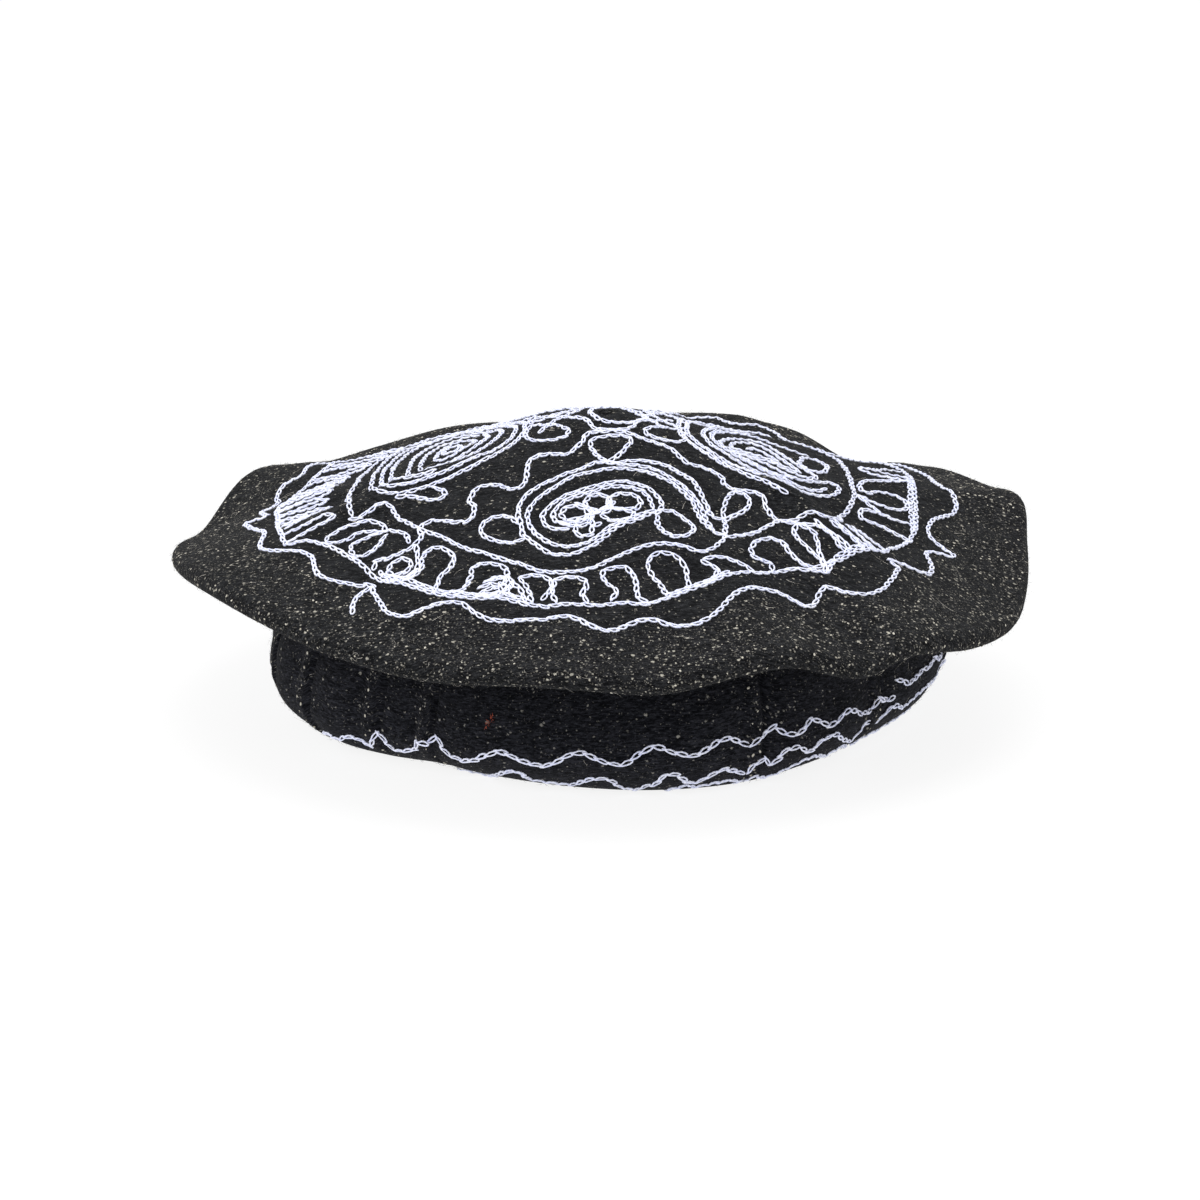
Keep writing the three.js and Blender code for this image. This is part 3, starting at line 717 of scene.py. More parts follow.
def band_back(v, at):
    """From the crest over the roll and down its inner face to the foot."""
    half = BAND_WALL / 2
    bend = BAND_BEND + BAND_WALL
    foot = BAND_RADIUS * band_foot(at)
    inner = band_inside(at)
    belly = foot + BAND_SWELL * band_swell(at) + tuck_offset(at, 1 + 0 * v, TUCK_GROOVE)
    crest = inner + half + CREST_SHARE * (belly - BAND_WALL - inner)
    e = np.clip(v / ROLL_SHARE, 0, 1) * np.pi / 2
    over_r = crest - (crest - inner) * np.sin(e)
    over_z = BAND_HEIGHT - bend + bend * np.cos(e)
    w = np.clip((v - ROLL_SHARE) / (1 - ROLL_SHARE), 0, 1)
    corner = smooth((w - 0.9) / 0.1)
    down_r = inner + corner * CLOTH
    down_z = lerp(BAND_HEIGHT - bend, 0, w)
    return polar(np.where(v < ROLL_SHARE, over_r, down_r), at, np.where(v < ROLL_SHARE, over_z, down_z))


# Where the cap's axis lies in the row frame: the middle of the crown's outline is that of its solid

MM_PER_METRE = 1000
OUTLINE_POINTS = 720
outline = crown_edge(np.full(OUTLINE_POINTS, 0.5), np.arange(OUTLINE_POINTS) * 360 / OUTLINE_POINTS - 180)
outline_middle = (outline.min(axis=0) + outline.max(axis=0)) / 2
low_corner, high_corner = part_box("crown")
solid_middle = (np.array(low_corner) + np.array(high_corner)) / 2
OFFSET = solid_middle[:2] * MM_PER_METRE - outline_middle[:2]


def placed(points):
    """Millimetres around the cap's axis to metres in the row frame."""
    moved = np.array(points, float)
    moved[..., 0] += OFFSET[0]
    moved[..., 1] += OFFSET[1]
    return moved / MM_PER_METRE


# Meshes


def finished_piece(name, mesh, material):
    """A smooth piece of the cap from a mesh, in its material, under the root body."""
    mesh.polygons.foreach_set("use_smooth", np.ones(len(mesh.polygons), dtype=bool))
    mesh.materials.append(material)
    piece = bpy.data.objects.new(name, mesh)
    bpy.context.scene.collection.objects.link(piece)
    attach(piece, "root")
    return piece


def cloth_piece(name, points, quads, fans, material):
    """A piece of cloth from quads and triangle fans."""
    mesh = bpy.data.meshes.new(name)
    mesh.from_pydata(placed(points).tolist(), [], quads.tolist() + fans.tolist())
    mesh.update()
    return finished_piece(name, mesh, material)


def detail_piece(name, points, faces, material):
    """A piece of many small parts with faces of one kind, none of it below the table."""
    mesh = bpy.data.meshes.new(name)
    points = np.maximum(points, [-np.inf, -np.inf, 0])
    count = len(faces)
    corners = faces.shape[1]
    mesh.vertices.add(len(points))
    mesh.vertices.foreach_set("co", placed(points).astype(np.float32).ravel())
    mesh.loops.add(count * corners)
    mesh.loops.foreach_set("vertex_index", faces.astype(np.int32).ravel())
    mesh.polygons.add(count)
    mesh.polygons.foreach_set("loop_start", np.arange(0, count * corners, corners, dtype=np.int32))
    mesh.polygons.foreach_set("loop_total", np.full(count, corners, dtype=np.int32))
    mesh.update(calc_edges=True)
    mesh.validate()
    return finished_piece(name, mesh, material)


def grid_faces(stations, steps, first, closed_line):
    """Quads over a closed ring of stations, each with the same number of points."""
    i = np.arange(stations)
    k = np.arange(steps if closed_line else steps - 1)
    i, k = np.meshgrid(i, k, indexing="ij")
    after = (i + 1) % stations
    above = (k + 1) % steps
    quads = np.stack([i * steps + k, after * steps + k, after * steps + above, i * steps + above], -1)
    return quads.reshape(-1, 4) + first


def unit(vectors):
    return vectors / np.maximum(np.linalg.norm(vectors, axis=-1, keepdims=True), 1e-9)


def normals_of(grid):
    """Unit normals of a ring of lines of points, all on the same side of the cloth."""
    along = np.roll(grid, -1, axis=0) - np.roll(grid, 1, axis=0)
    across = np.gradient(grid, axis=1)
    return unit(np.cross(along, across))


def lengths_along(points):
    """How far each point lies from the first, along lines of points."""
    steps = np.linalg.norm(np.diff(points, axis=-2), axis=-1)
    start = np.zeros((*steps.shape[:-1], 1))
    return np.concatenate([start, np.cumsum(steps, axis=-1)], axis=-1)


def set_uv(piece, uv):
    """Millimetres of cloth for each point, which the materials read."""
    layer = piece.data.uv_layers.new(name="cloth")
    indices = np.zeros(len(piece.data.loops), dtype=np.int32)
    piece.data.loops.foreach_get("vertex_index", indices)
    layer.data.foreach_set("uv", uv[indices].astype(np.float32).ravel())


def set_fleck_share(piece, values):
    """How many flecks there are at each point."""
    attribute = piece.data.attributes.new("fleck", "FLOAT", "POINT")
    attribute.data.foreach_set("value", values.astype(np.float32))


# Materials


def new_material(name):
    material = bpy.data.materials.new(name)
    material.use_nodes = True
    tree = material.node_tree
    return material, tree, tree.nodes["Principled BSDF"]


def add_node(tree, kind, **settings):
    node = tree.nodes.new(kind)
    for key, value in settings.items():
        setattr(node, key, value)
    return node


def set_inputs(node, values):
    for socket, value in values.items():
        node.inputs[socket].default_value = value


def arithmetic(tree, operation, first, second, third=None):
    """A sum or product of sockets and constants."""
    node = add_node(tree, "ShaderNodeMath", operation=operation)
    for socket, value in zip(node.inputs, (first, second, third)):
        if value is None:
            continue
        if isinstance(value, (int, float)):
            socket.default_value = value
        else:
            tree.links.new(value, socket)
    return node.outputs[0]


def mixed_colour(tree, factor, first, second):
    node = add_node(tree, "ShaderNodeMix", data_type="RGBA")
    tree.links.new(factor, node.inputs[0])
    for socket, value in ((node.inputs[6], first), (node.inputs[7], second)):
        if isinstance(value, tuple):
            socket.default_value = (*value, 1)
        else:
            tree.links.new(value, socket)
    return node.outputs[2]


def stretched(tree, source, turn, scale):
    """The cloth's own coordinates, turned and stretched."""
    mapping = add_node(tree, "ShaderNodeMapping")
    set_inputs(mapping, {"Rotation": (0, 0, math.radians(turn)), "Scale": (*scale, 1)})
    tree.links.new(source, mapping.inputs["Vector"])
    return mapping.outputs[0]


def noise(tree, source, scale, detail, distortion=0):
    node = add_node(tree, "ShaderNodeTexNoise")
    set_inputs(node, {"Scale": scale, "Detail": detail, "Distortion": distortion})
    tree.links.new(source, node.inputs["Vector"])
    return node


def stripes(tree, source, scale, distortion, detail):
    """Soft diagonal stripes."""
    node = add_node(tree, "ShaderNodeTexWave", wave_type="BANDS", bands_direction="DIAGONAL")
    set_inputs(node, {"Scale": scale, "Distortion": distortion, "Detail": detail})
    tree.links.new(source, node.inputs["Vector"])
    return node.outputs["Fac"]


def clamped(tree, value):
    node = add_node(tree, "ShaderNodeClamp")
    tree.links.new(value, node.inputs[0])
    return node.outputs[0]


def add_bump(tree, shader, height, strength, distance):
    bump = add_node(tree, "ShaderNodeBump")
    set_inputs(bump, {"Strength": strength, "Distance": distance})
    tree.links.new(height, bump.inputs["Height"])
    tree.links.new(bump.outputs[0], shader.inputs["Normal"])


# Layers of flecks: millimetres between them, length over width, turn, radius in cells, share and strength
FLECK_LAYERS = [
    (2.1, 1.35, 8, 0.19, 0.75, 1.0),
    (1.25, 1.25, -20, 0.22, 0.8, 0.6),
    (0.75, 1.2, 30, 0.26, 0.9, 0.25),
]
FLECK_DISORDER = 0.95
FLECK_EDGE = 12

# Felted fibres: turn in degrees, and pulses in a millimetre along and across
FELT_LAYERS = [
    (35, (0.5, 3.2)),
    (-48, (0.45, 2.8)),
]

# Pulses in a millimetre of the cloth's ragged shifts, blotches, grain and weave, and the shifts' reach
RAGGED_PULSE = 1.8
RAGGED_REACH = 0.9
BLOTCH_PULSE = 0.16
GRAIN_PULSE = 2.6
WEAVE_PULSE = 0.26

# Pulses in a metre of the tint of thread and loose wool
SPUN_PULSE = 1500
THREAD_BLOTCH_PULSE = 160
FIBRE_PULSE = 1400
FIBRE_BLOTCH_PULSE = 260


def fleck_mask(tree, source, density, layer):
    """Short flecks: one in some of the cells of a random pattern, with its own size and strength."""
    spacing, stretch, turn, radius, share, strength = layer
    place = stretched(tree, source, turn, (1 / (spacing * stretch), 1 / spacing))
    cells = add_node(tree, "ShaderNodeTexVoronoi", feature="F1")
    set_inputs(cells, {"Scale": 1, "Randomness": FLECK_DISORDER})
    tree.links.new(place, cells.inputs["Vector"])
    chance = add_node(tree, "ShaderNodeSeparateColor")
    tree.links.new(cells.outputs["Color"], chance.inputs[0])
    wanted = arithmetic(tree, "MULTIPLY", density, share)
    chosen = arithmetic(tree, "LESS_THAN", chance.outputs[0], wanted)
    reach = arithmetic(tree, "MULTIPLY_ADD", chance.outputs[1], radius, radius * 0.45)
    near = arithmetic(tree, "SUBTRACT", reach, cells.outputs["Distance"])
    inside = clamped(tree, arithmetic(tree, "MULTIPLY", near, FLECK_EDGE))
    bright = arithmetic(tree, "POWER", chance.outputs[2], 1.3)
    bright = arithmetic(tree, "MULTIPLY_ADD", bright, strength * 0.75, strength * 0.25)
    return arithmetic(tree, "MULTIPLY", arithmetic(tree, "MULTIPLY", inside, chosen), bright)


def ragged_cloth(tree, uv):
    """The cloth's coordinates, shifted a little at random, so that edges come out ragged."""
    shifts = noise(tree, uv, RAGGED_PULSE, 2)
    scaled = add_node(tree, "ShaderNodeVectorMath", operation="SCALE")
    scaled.inputs["Scale"].default_value = RAGGED_REACH
    moved = add_node(tree, "ShaderNodeVectorMath", operation="ADD")
    tree.links.new(shifts.outputs["Color"], scaled.inputs[0])
    tree.links.new(uv, moved.inputs[0])
    tree.links.new(scaled.outputs[0], moved.inputs[1])
    return moved.outputs[0]


def wool_material(name, dark, light, fleck, sheen):
    """Black wool: felted fibres in two directions, mottling, and flecks whose density is painted."""
    material, tree, shader = new_material(name)
    uv = add_node(tree, "ShaderNodeUVMap", uv_map="cloth").outputs[0]
    ragged = ragged_cloth(tree, uv)
    density = add_node(tree, "ShaderNodeAttribute", attribute_name="fleck").outputs["Fac"]
    flecks = fleck_mask(tree, ragged, density, FLECK_LAYERS[0])
    for layer in FLECK_LAYERS[1:]:
        flecks = arithmetic(tree, "MAXIMUM", flecks, fleck_mask(tree, ragged, density, layer))
    felt = [noise(tree, stretched(tree, ragged, *layer), 1, 3, 0.6).outputs[0] for layer in FELT_LAYERS]
    crossed = arithmetic(tree, "MULTIPLY", *felt)
    blotches = noise(tree, uv, BLOTCH_PULSE, 3).outputs[0]
    grain = noise(tree, uv, GRAIN_PULSE, 2).outputs[0]
    woolly = arithmetic(tree, "MULTIPLY_ADD", crossed, 5, -1.4)
    woolly = arithmetic(tree, "MULTIPLY_ADD", blotches, 0.5, woolly)
    woolly = arithmetic(tree, "MULTIPLY_ADD", grain, 0.35, woolly)
    ground = mixed_colour(tree, clamped(tree, woolly), dark, light)
    tree.links.new(mixed_colour(tree, flecks, ground, fleck), shader.inputs["Base Color"])
    set_inputs(shader, {"Roughness": 1, "Specular IOR Level": 0.08})
    set_inputs(shader, {"Sheen Weight": sheen, "Sheen Roughness": 0.5})
    weave = stripes(tree, uv, WEAVE_PULSE, 3, 2)
    height = arithmetic(tree, "MULTIPLY_ADD", weave, 0.12, crossed)
    height = arithmetic(tree, "MULTIPLY_ADD", grain, 0.4, height)
    height = arithmetic(tree, "MULTIPLY_ADD", flecks, 0.3, height)
    add_bump(tree, shader, height, strength=0.9, distance=0.0007)
    return material


def thread_material(name, shade_blue, ridge):
    """White thread, mixed from a blue painted shade and a white painted highlight by the stripes of its
    plies and random tone, with a twist of fine plies.
    """
    material, tree, shader = new_material(name)
    place = add_node(tree, "ShaderNodeTexCoord").outputs["Object"]
    spun = noise(tree, place, SPUN_PULSE, 3).outputs[0]
    blotches = noise(tree, place, THREAD_BLOTCH_PULSE, 2).outputs[0]
    uv = add_node(tree, "ShaderNodeUVMap", uv_map="cloth").outputs[0]
    plies = stripes(tree, uv, 0.5, 0.4, 2)
    tint = arithmetic(tree, "MULTIPLY_ADD", plies, 0.35, spun)
    tint = arithmetic(tree, "MULTIPLY_ADD", blotches, 0.6, tint)
    tint = clamped(tree, arithmetic(tree, "SUBTRACT", tint, 0.45))
    tree.links.new(mixed_colour(tree, tint, shade_blue, ridge), shader.inputs["Base Color"])
    set_inputs(shader, {"Roughness": 0.8, "Specular IOR Level": 0.2, "Sheen Weight": 0.15})
    height = arithmetic(tree, "MULTIPLY_ADD", plies, 0.8, spun)
    add_bump(tree, shader, height, strength=0.6, distance=0.0002)
    return material


def fibre_material(name, dark, light):
    """Loose wool, darker and lighter from fibre to fibre and along each of them."""
    material, tree, shader = new_material(name)
    place = add_node(tree, "ShaderNodeTexCoord").outputs["Object"]
    from_fibre_to_fibre = noise(tree, place, FIBRE_BLOTCH_PULSE, 1).outputs[0]
    along_fibre = noise(tree, place, FIBRE_PULSE, 2).outputs[0]
    tint = arithmetic(tree, "MULTIPLY_ADD", from_fibre_to_fibre, 2.6, -1.3)
    tint = arithmetic(tree, "ADD", along_fibre, tint)
    tree.links.new(mixed_colour(tree, clamped(tree, tint), dark, light), shader.inputs["Base Color"])
    set_inputs(shader, {"Roughness": 0.9, "Specular IOR Level": 0.15, "Sheen Weight": 0.05})
    return material


crown_wool = wool_material(
    "crown_wool",
    dark=(0.0024, 0.0027, 0.0034),
    light=(0.033, 0.034, 0.037),
    fleck=(0.74, 0.7, 0.6),
    sheen=0.012,
)
# The band is the same wool as the crown, made darker and with dimmer flecks as painted shade under the
# crown's rim
band_wool = wool_material(
    "band_wool",
    dark=(0.0016, 0.0019, 0.0032),
    light=(0.03, 0.031, 0.039),
    fleck=(0.5, 0.48, 0.43),
    sheen=0.018,
)
# The thread's blue is painted shade, and its white (ridge) is a painted highlight
white_thread = thread_material("white_thread", shade_blue=(0.6, 0.65, 0.95), ridge=(0.95, 0.955, 1.0))
knot_wool = fibre_material("knot_wool", dark=(0.38, 0.35, 0.29), light=(0.62, 0.59, 0.51))
pale_hair = fibre_material("pale_hair", dark=(0.36, 0.34, 0.3), light=(0.64, 0.6, 0.54))
dark_hair = fibre_material("dark_hair", dark=(0.02, 0.021, 0.024), light=(0.042, 0.043, 0.048))
red_wool = fibre_material("red_wool", dark=(0.2, 0.035, 0.02), light=(0.42, 0.1, 0.06))
blue_wool = fibre_material("blue_wool", dark=(0.01, 0.05, 0.075), light=(0.03, 0.12, 0.17))

# Crown

CROWN_STATIONS = 384
TOP_STEPS = 61
EDGE_STEPS = 8
UNDER_STEPS = 15
SHOULDER_STEPS = 3
WALL_STEPS = 5
FLECKS_INSIDE = 0.35
FLECKS_OUTSIDE = 1
FLECKS_UNDER = 0.4
FLECKS_LINING = 0.3
FLECKS_TIP = 0.2

crown_at = (np.arange(CROWN_STATIONS) * 360 / CROWN_STATIONS - 180)[:, None]


def crown_part(shape, count):
    """Points of one part of the crown's section, at every station, without its first point."""
    return shape(np.linspace(0, 1, count + 1)[None, 1:], crown_at)


crown_lines = np.concatenate(
    [
        crown_part(crown_top, TOP_STEPS),
        crown_part(crown_edge, EDGE_STEPS),
        crown_part(crown_under, UNDER_STEPS),
        crown_part(crown_shoulder, SHOULDER_STEPS),
        crown_part(crown_wall, WALL_STEPS),
    ],
    axis=1,
)
crown_normals = normals_of(crown_lines)
if crown_normals[0, 0, 2] < 0:
    crown_normals = -crown_normals
crown_lining = crown_lines - CLOTH * crown_normals
tip_outer = crown_top(np.array([0.0]), np.array([0.0]))
tip_inner = tip_outer - np.array([0, 0, CLOTH])
steps = crown_lines.shape[1]
size = CROWN_STATIONS * steps
crown_points = np.concatenate(
    [crown_lines.reshape(-1, 3), crown_lining.reshape(-1, 3), tip_outer, tip_inner]
)
outer_faces = grid_faces(CROWN_STATIONS, steps, 0, False)
inner_faces = grid_faces(CROWN_STATIONS, steps, size, False)[:, ::-1]
ring = np.arange(CROWN_STATIONS)
after = (ring + 1) % CROWN_STATIONS
hem = np.stack([ring * steps + steps - 1, after * steps + steps - 1], -1)
hem_faces = np.concatenate([hem, hem[:, ::-1] + size], axis=1)
outer_tip = np.full(CROWN_STATIONS, 2 * size)
tip_faces = np.stack([outer_tip, ring * steps, after * steps], -1)
tip_lining = np.stack([outer_tip + 1, after * steps + size, ring * steps + size], -1)
crown = cloth_piece(
    "crown_cloth",
    crown_points,
    np.concatenate([outer_faces, inner_faces, hem_faces]),
    np.concatenate([tip_faces, tip_lining]),
    crown_wool,
)
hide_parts("crown")

# The cloth is laid flat as a disc: how far each point lies from the crown's centre along the cloth
crown_radius = np.hypot(crown_lines[..., 0], crown_lines[..., 1])
run = crown_radius[:, :1] + lengths_along(crown_lines)
flat_uv = polar(run, crown_at, 0)[..., :2].reshape(-1, 2)
set_uv(crown, np.concatenate([flat_uv, flat_uv, np.zeros((2, 2))]))


def zigzag_radius(at):
    """Radius of the outermost line of embroidery around the crown."""
    points = np.array(ZIGZAG, float)
    angles = np.degrees(np.arctan2(points[:, 1], points[:, 0]))
    order = np.argsort(angles)
    radii = np.hypot(points[:, 0], points[:, 1])
    return np.interp(at, angles[order], radii[order], period=360)


# Flecks are thickest outside the embroidery
outside = smooth((crown_radius - zigzag_radius(crown_at) + 2) / 6)
fleck_share = lerp(FLECKS_INSIDE, FLECKS_OUTSIDE, outside)
fleck_share[:, TOP_STEPS + EDGE_STEPS:] = FLECKS_UNDER
lining_share = np.full(size, FLECKS_LINING)
set_fleck_share(crown, np.concatenate([fleck_share.ravel(), lining_share, [FLECKS_TIP, FLECKS_TIP]]))

# Band: its stations are closer together at the tucks

BAND_STATION = 1.2
TUCK_STATIONS = 31
TUCK_REACH = 6
NEAREST_STATIONS = 0.15
BAND_FACE_STEPS = 46
BAND_BACK_STEPS = 8
# Fewer flecks on the band than outside the crown's embroidery, as painted shade under the rim
BAND_FLECKS = 0.32
TUCK_FLECKS = 0.5
TUCK_FLECKS_REACH = 1.4

stations = set(np.round(np.arange(-180, 180, BAND_STATION), 3))
for place, _ in TUCKS:
    for offset in np.linspace(-TUCK_REACH, TUCK_REACH, TUCK_STATIONS):
        stations.add(round(float(turn_between(place + offset, 0)), 3))
band_angles = np.array(sorted(stations))
band_angles = band_angles[np.concatenate([[True], np.diff(band_angles) > NEAREST_STATIONS])]
band_at = band_angles[:, None]
face_shares = np.linspace(0, 1, BAND_FACE_STEPS)
roll_shares = np.linspace(0, ROLL_SHARE, BAND_BACK_STEPS + 1)[1:]
inside_shares = np.linspace(ROLL_SHARE, 1, BAND_BACK_STEPS + 1)[1:]
back_shares = np.concatenate([roll_shares, inside_shares])
band_lines = np.concatenate(
    [band_face(face_shares[None, :], band_at), band_back(back_shares[None, :], band_at)], axis=1
)
band_count, band_steps = band_lines.shape[:2]
band = cloth_piece(
    "band_cloth",
    band_lines.reshape(-1, 3),
    grid_faces(band_count, band_steps, 0, True),
    np.zeros((0, 3), int),
    band_wool,
)
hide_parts("rolled_band")
band_run = lengths_along(band_lines)
band_arc = np.radians(band_at) * (BAND_RADIUS + BAND_SWELL)
set_uv(band, np.stack([band_arc + 0 * band_run, band_run], -1).reshape(-1, 2))
near_tuck = 0 * band_at
for place, _ in TUCKS:
    near_tuck = near_tuck + np.exp(-((turn_between(band_at, place) / TUCK_FLECKS_REACH) ** 2))
set_fleck_share(band, (BAND_FLECKS + TUCK_FLECKS * near_tuck + 0 * band_run).ravel())

# Embroidery

# The thread's radius, and how high its middle lies over the cloth as a share of that
THREAD = 0.3
THREAD_SEAT = 0.6

# A link: how far it lies over the next, its width, and the shares of its neck's width and length
LINK_OVERLAP = 1.1
LINK_WIDTH = 1.55
LINK_NECK = 0.22
LINK_SHOULDER = 0.65
LINK_RINGS = 12
LINK_SIDES = 5
CROWN_PITCH = 3.5
BAND_PITCH = 3.9

# Near its narrow end a link rises over the one before it: height, and place and length as shares
LIFT = 0.42
LIFT_PLACE = 0.2
LIFT_LENGTH = 0.17

# How unevenly it is sewn: along a row, across it, and the turn of a link in radians
SEWN_ALONG = 0.2
SEWN_ACROSS = 0.1
SEWN_TURN = 0.09

# Steps along a row and on both charts, over which directions and slopes are measured
ROW_STEP = 1.1
CROWN_STEP = 0.6
BAND_STEP = 0.4

# How far the plies' stripes run on from ring to ring and from side to side of a link
PLY_ALONG = 0.9
PLY_AROUND = 0.4


def link_template():
    """One chain link as a drop: places along it, sideways places, and how far along each is."""
    turn = np.linspace(0, 2 * np.pi, LINK_RINGS, endpoint=False)
    along = (1 - np.cos(turn)) / 2
    narrow = lerp(LINK_NECK, 1.0, smooth(along / LINK_SHOULDER))
    return along - 0.5, np.sin(turn) * narrow / 2, along


def smooth_path(points, spacing=0.5):
    """A smooth line through charted points."""
    points = np.array(points, float)
    closed = np.allclose(points[0], points[-1])
    if closed:
        padded = np.concatenate([points[-2:-1], points, points[1:2]])
    else:
        before = 2 * points[:1] - points[1:2]
        beyond = 2 * points[-1:] - points[-2:-1]
        padded = np.concatenate([before, points, beyond])
    pieces = []
    for p0, p1, p2, p3 in zip(padded[:-3], padded[1:-2], padded[2:-1], padded[3:]):
        count = max(int(np.linalg.norm(p2 - p1) / spacing), 2)
        t = np.linspace(0, 1, count, endpoint=False)[:, None]
        square = (2 * p0 - 5 * p1 + 4 * p2 - p3) * t**2
        cube = (3 * p1 - p0 - 3 * p2 + p3) * t**3
        pieces.append(0.5 * (2 * p1 + (p2 - p0) * t + square + cube))
    pieces.append(points[-1:])
    return np.concatenate(pieces)


def on_crown(plan):
    """Points of the crown's outer face above plan points."""
    at = np.degrees(np.arctan2(plan[..., 1], plan[..., 0]))
    share = np.hypot(plan[..., 0], plan[..., 1]) / fold_radius(at)
    return crown_top(np.clip(share, 0, 1), at)


def on_band(chart):
    """Points of the band's outer face, with the thread drawn straight over the grooves."""
    return band_face(chart[..., 1] / 100, chart[..., 0], 0)


def face_normals(surface, chart, step):
    """Unit normals of a charted surface."""
    east = surface(chart + np.array([step, 0])) - surface(chart - np.array([step, 0]))
    north = surface(chart + np.array([0, step])) - surface(chart - np.array([0, step]))
    return unit(np.cross(east, north))


def places_along(line, marks, lengths):
    """Points of a line at some lengths along it."""
    return np.stack([np.interp(marks, lengths, line[:, i]) for i in range(line.shape[1])], -1)


def stitches(row, surface, step, pitch):
    """The chain stitches along one row: for each link the points of its tube."""
    s, w, along = link_template()
    path = smooth_path(row)
    line = surface(path)
    lengths = lengths_along(line)
    count = max(round(lengths[-1] / pitch), 1)
    marks = (np.arange(count) + 0.5) / count * lengths[-1]
    marks = marks + rng.uniform(-SEWN_ALONG, SEWN_ALONG, count)
    centre = places_along(line, marks, lengths)
    ahead = places_along(line, marks + ROW_STEP, lengths)
    behind = places_along(line, marks - ROW_STEP, lengths)
    straight = unit(ahead - behind)
    normal = face_normals(surface, places_along(path, marks, lengths), step)
    across = unit(np.cross(normal, straight))
    twist = rng.normal(0, SEWN_TURN, count)[:, None]
    tangent = straight * np.cos(twist) + across * np.sin(twist)
    side = across * np.cos(twist) - straight * np.sin(twist)
    length = (pitch + LINK_OVERLAP) * rng.uniform(0.95, 1.06, count)[:, None]
    width = LINK_WIDTH * rng.uniform(0.7, 1.15, count)[:, None]
    radius = THREAD * rng.uniform(0.88, 1.1, count)[:, None]
    shift = rng.normal(0, SEWN_ACROSS, count)[:, None]
    forwards = length * s[None, :]
    sideways = width * w[None, :] + shift
    upwards = radius * THREAD_SEAT + LIFT * np.exp(-(((along[None, :] - LIFT_PLACE) / LIFT_LENGTH) ** 2))
    loop = centre[:, None] + forwards[..., None] * tangent[:, None] + sideways[..., None] * side[:, None]
    loop = loop + upwards[..., None] * normal[:, None]
    heading = unit(np.roll(loop, -1, axis=1) - np.roll(loop, 1, axis=1))
    out = unit(np.cross(heading, np.broadcast_to(normal[:, None], heading.shape)))
    up = np.cross(out, heading)
    ring_angles = np.linspace(0, 2 * np.pi, LINK_SIDES, endpoint=False)[:, None]
    around_thread = np.cos(ring_angles) * out[:, :, None] + np.sin(ring_angles) * up[:, :, None]
    tube = loop[:, :, None] + radius[:, :, None, None] * around_thread
    return tube.reshape(count, -1, 3)


def sew(name, rows, surface=on_crown, step=CROWN_STEP, pitch=CROWN_PITCH):
    """One piece of embroidery from charted rows."""
    links = np.concatenate([stitches(row, surface, step, pitch) for row in rows])
    a, b = np.meshgrid(np.arange(LINK_RINGS), np.arange(LINK_SIDES), indexing="ij")
    here = a * LINK_SIDES
    ahead = (a + 1) % LINK_RINGS * LINK_SIDES
    next_b = (b + 1) % LINK_SIDES
    quads = np.stack([here + b, here + next_b, ahead + next_b, ahead + b], -1).reshape(-1, 4)
    first = np.arange(len(links)) * LINK_RINGS * LINK_SIDES
    faces = (quads[None] + first[:, None, None]).reshape(-1, 4)
    piece = detail_piece(name, links.reshape(-1, 3), faces, white_thread)
    link_uv = np.stack([a * PLY_ALONG, b * PLY_AROUND], -1).reshape(-1, 2)
    set_uv(piece, np.tile(link_uv, (len(links), 1)))


# Radii of the front's rings of embroidery, and where the same rings lie at the sides and the back
FRONT_RADII = (0, 17, 34, 71, 86, 120)
SIDE_RADII = (0, 14, 27, 66, 77, 108)
BACK_RADII = (0, 15, 32, 68, 82, 115)
HAND_WOBBLE = 0.4


def turned(rows, quarters, radii):
    """Rows of the front turned to another side, and drawn towards the middle as they are there."""
    result = []
    for row in rows:
        points = np.array(row, float)
        radius = np.hypot(points[:, 0], points[:, 1])
        moved = np.interp(radius, FRONT_RADII, radii)
        points = points * (moved / np.maximum(radius, 1e-6))[:, None]
        for _ in range(quarters):
            points = np.stack([-points[:, 1], points[:, 0]], -1)
        x, y = points.T
        wobble = np.stack([soft_rumple(x, y), fine_rumple(y, x)], -1)
        result.append(points + HAND_WOBBLE * wobble)
    return result


BACK_POINTS = 44
BACK_WAVES = 12
BACK_WAVE_HEIGHT = 3


def border_back(front):
    """Closes a line of the border around the back of the crown, in small waves."""
    ends = np.array([front[-1], front[0]], float)
    first, last = np.degrees(np.arctan2(ends[:, 1], ends[:, 0]))
    first_radius, last_radius = np.hypot(ends[:, 0], ends[:, 1])
    share = np.linspace(0, 1, BACK_POINTS)
    swing = BACK_WAVE_HEIGHT * np.sin(share * np.pi * 2 * BACK_WAVES) * np.sin(share * np.pi)
    return polar(lerp(first_radius, last_radius, share) + swing, lerp(first, last, share), 0)[:, :2]


# Outline of a loop: shares of its depth and of its width
LOOP_OUTLINE = [
    (0, -0.3), (0.3, -0.22), (0.62, -0.42), (0.88, -0.38), (1, 0),
    (0.88, 0.38), (0.62, 0.42), (0.3, 0.24), (0, 0.36),
]
LOOP_JITTER = 0.5


def side_loop(at, outer, inner, width):
    """A loop that stands on the border's ring and points to the middle."""
    axis = np.array([math.cos(math.radians(at)), math.sin(math.radians(at))])
    side = np.array([-axis[1], axis[0]])
    rows = []
    for depth, across in LOOP_OUTLINE:
        jitter = rng.uniform(-LOOP_JITTER, LOOP_JITTER, 2)
        rows.append(axis * (outer + (inner - outer) * depth) + side * across * width + jitter)
    return np.array(rows)


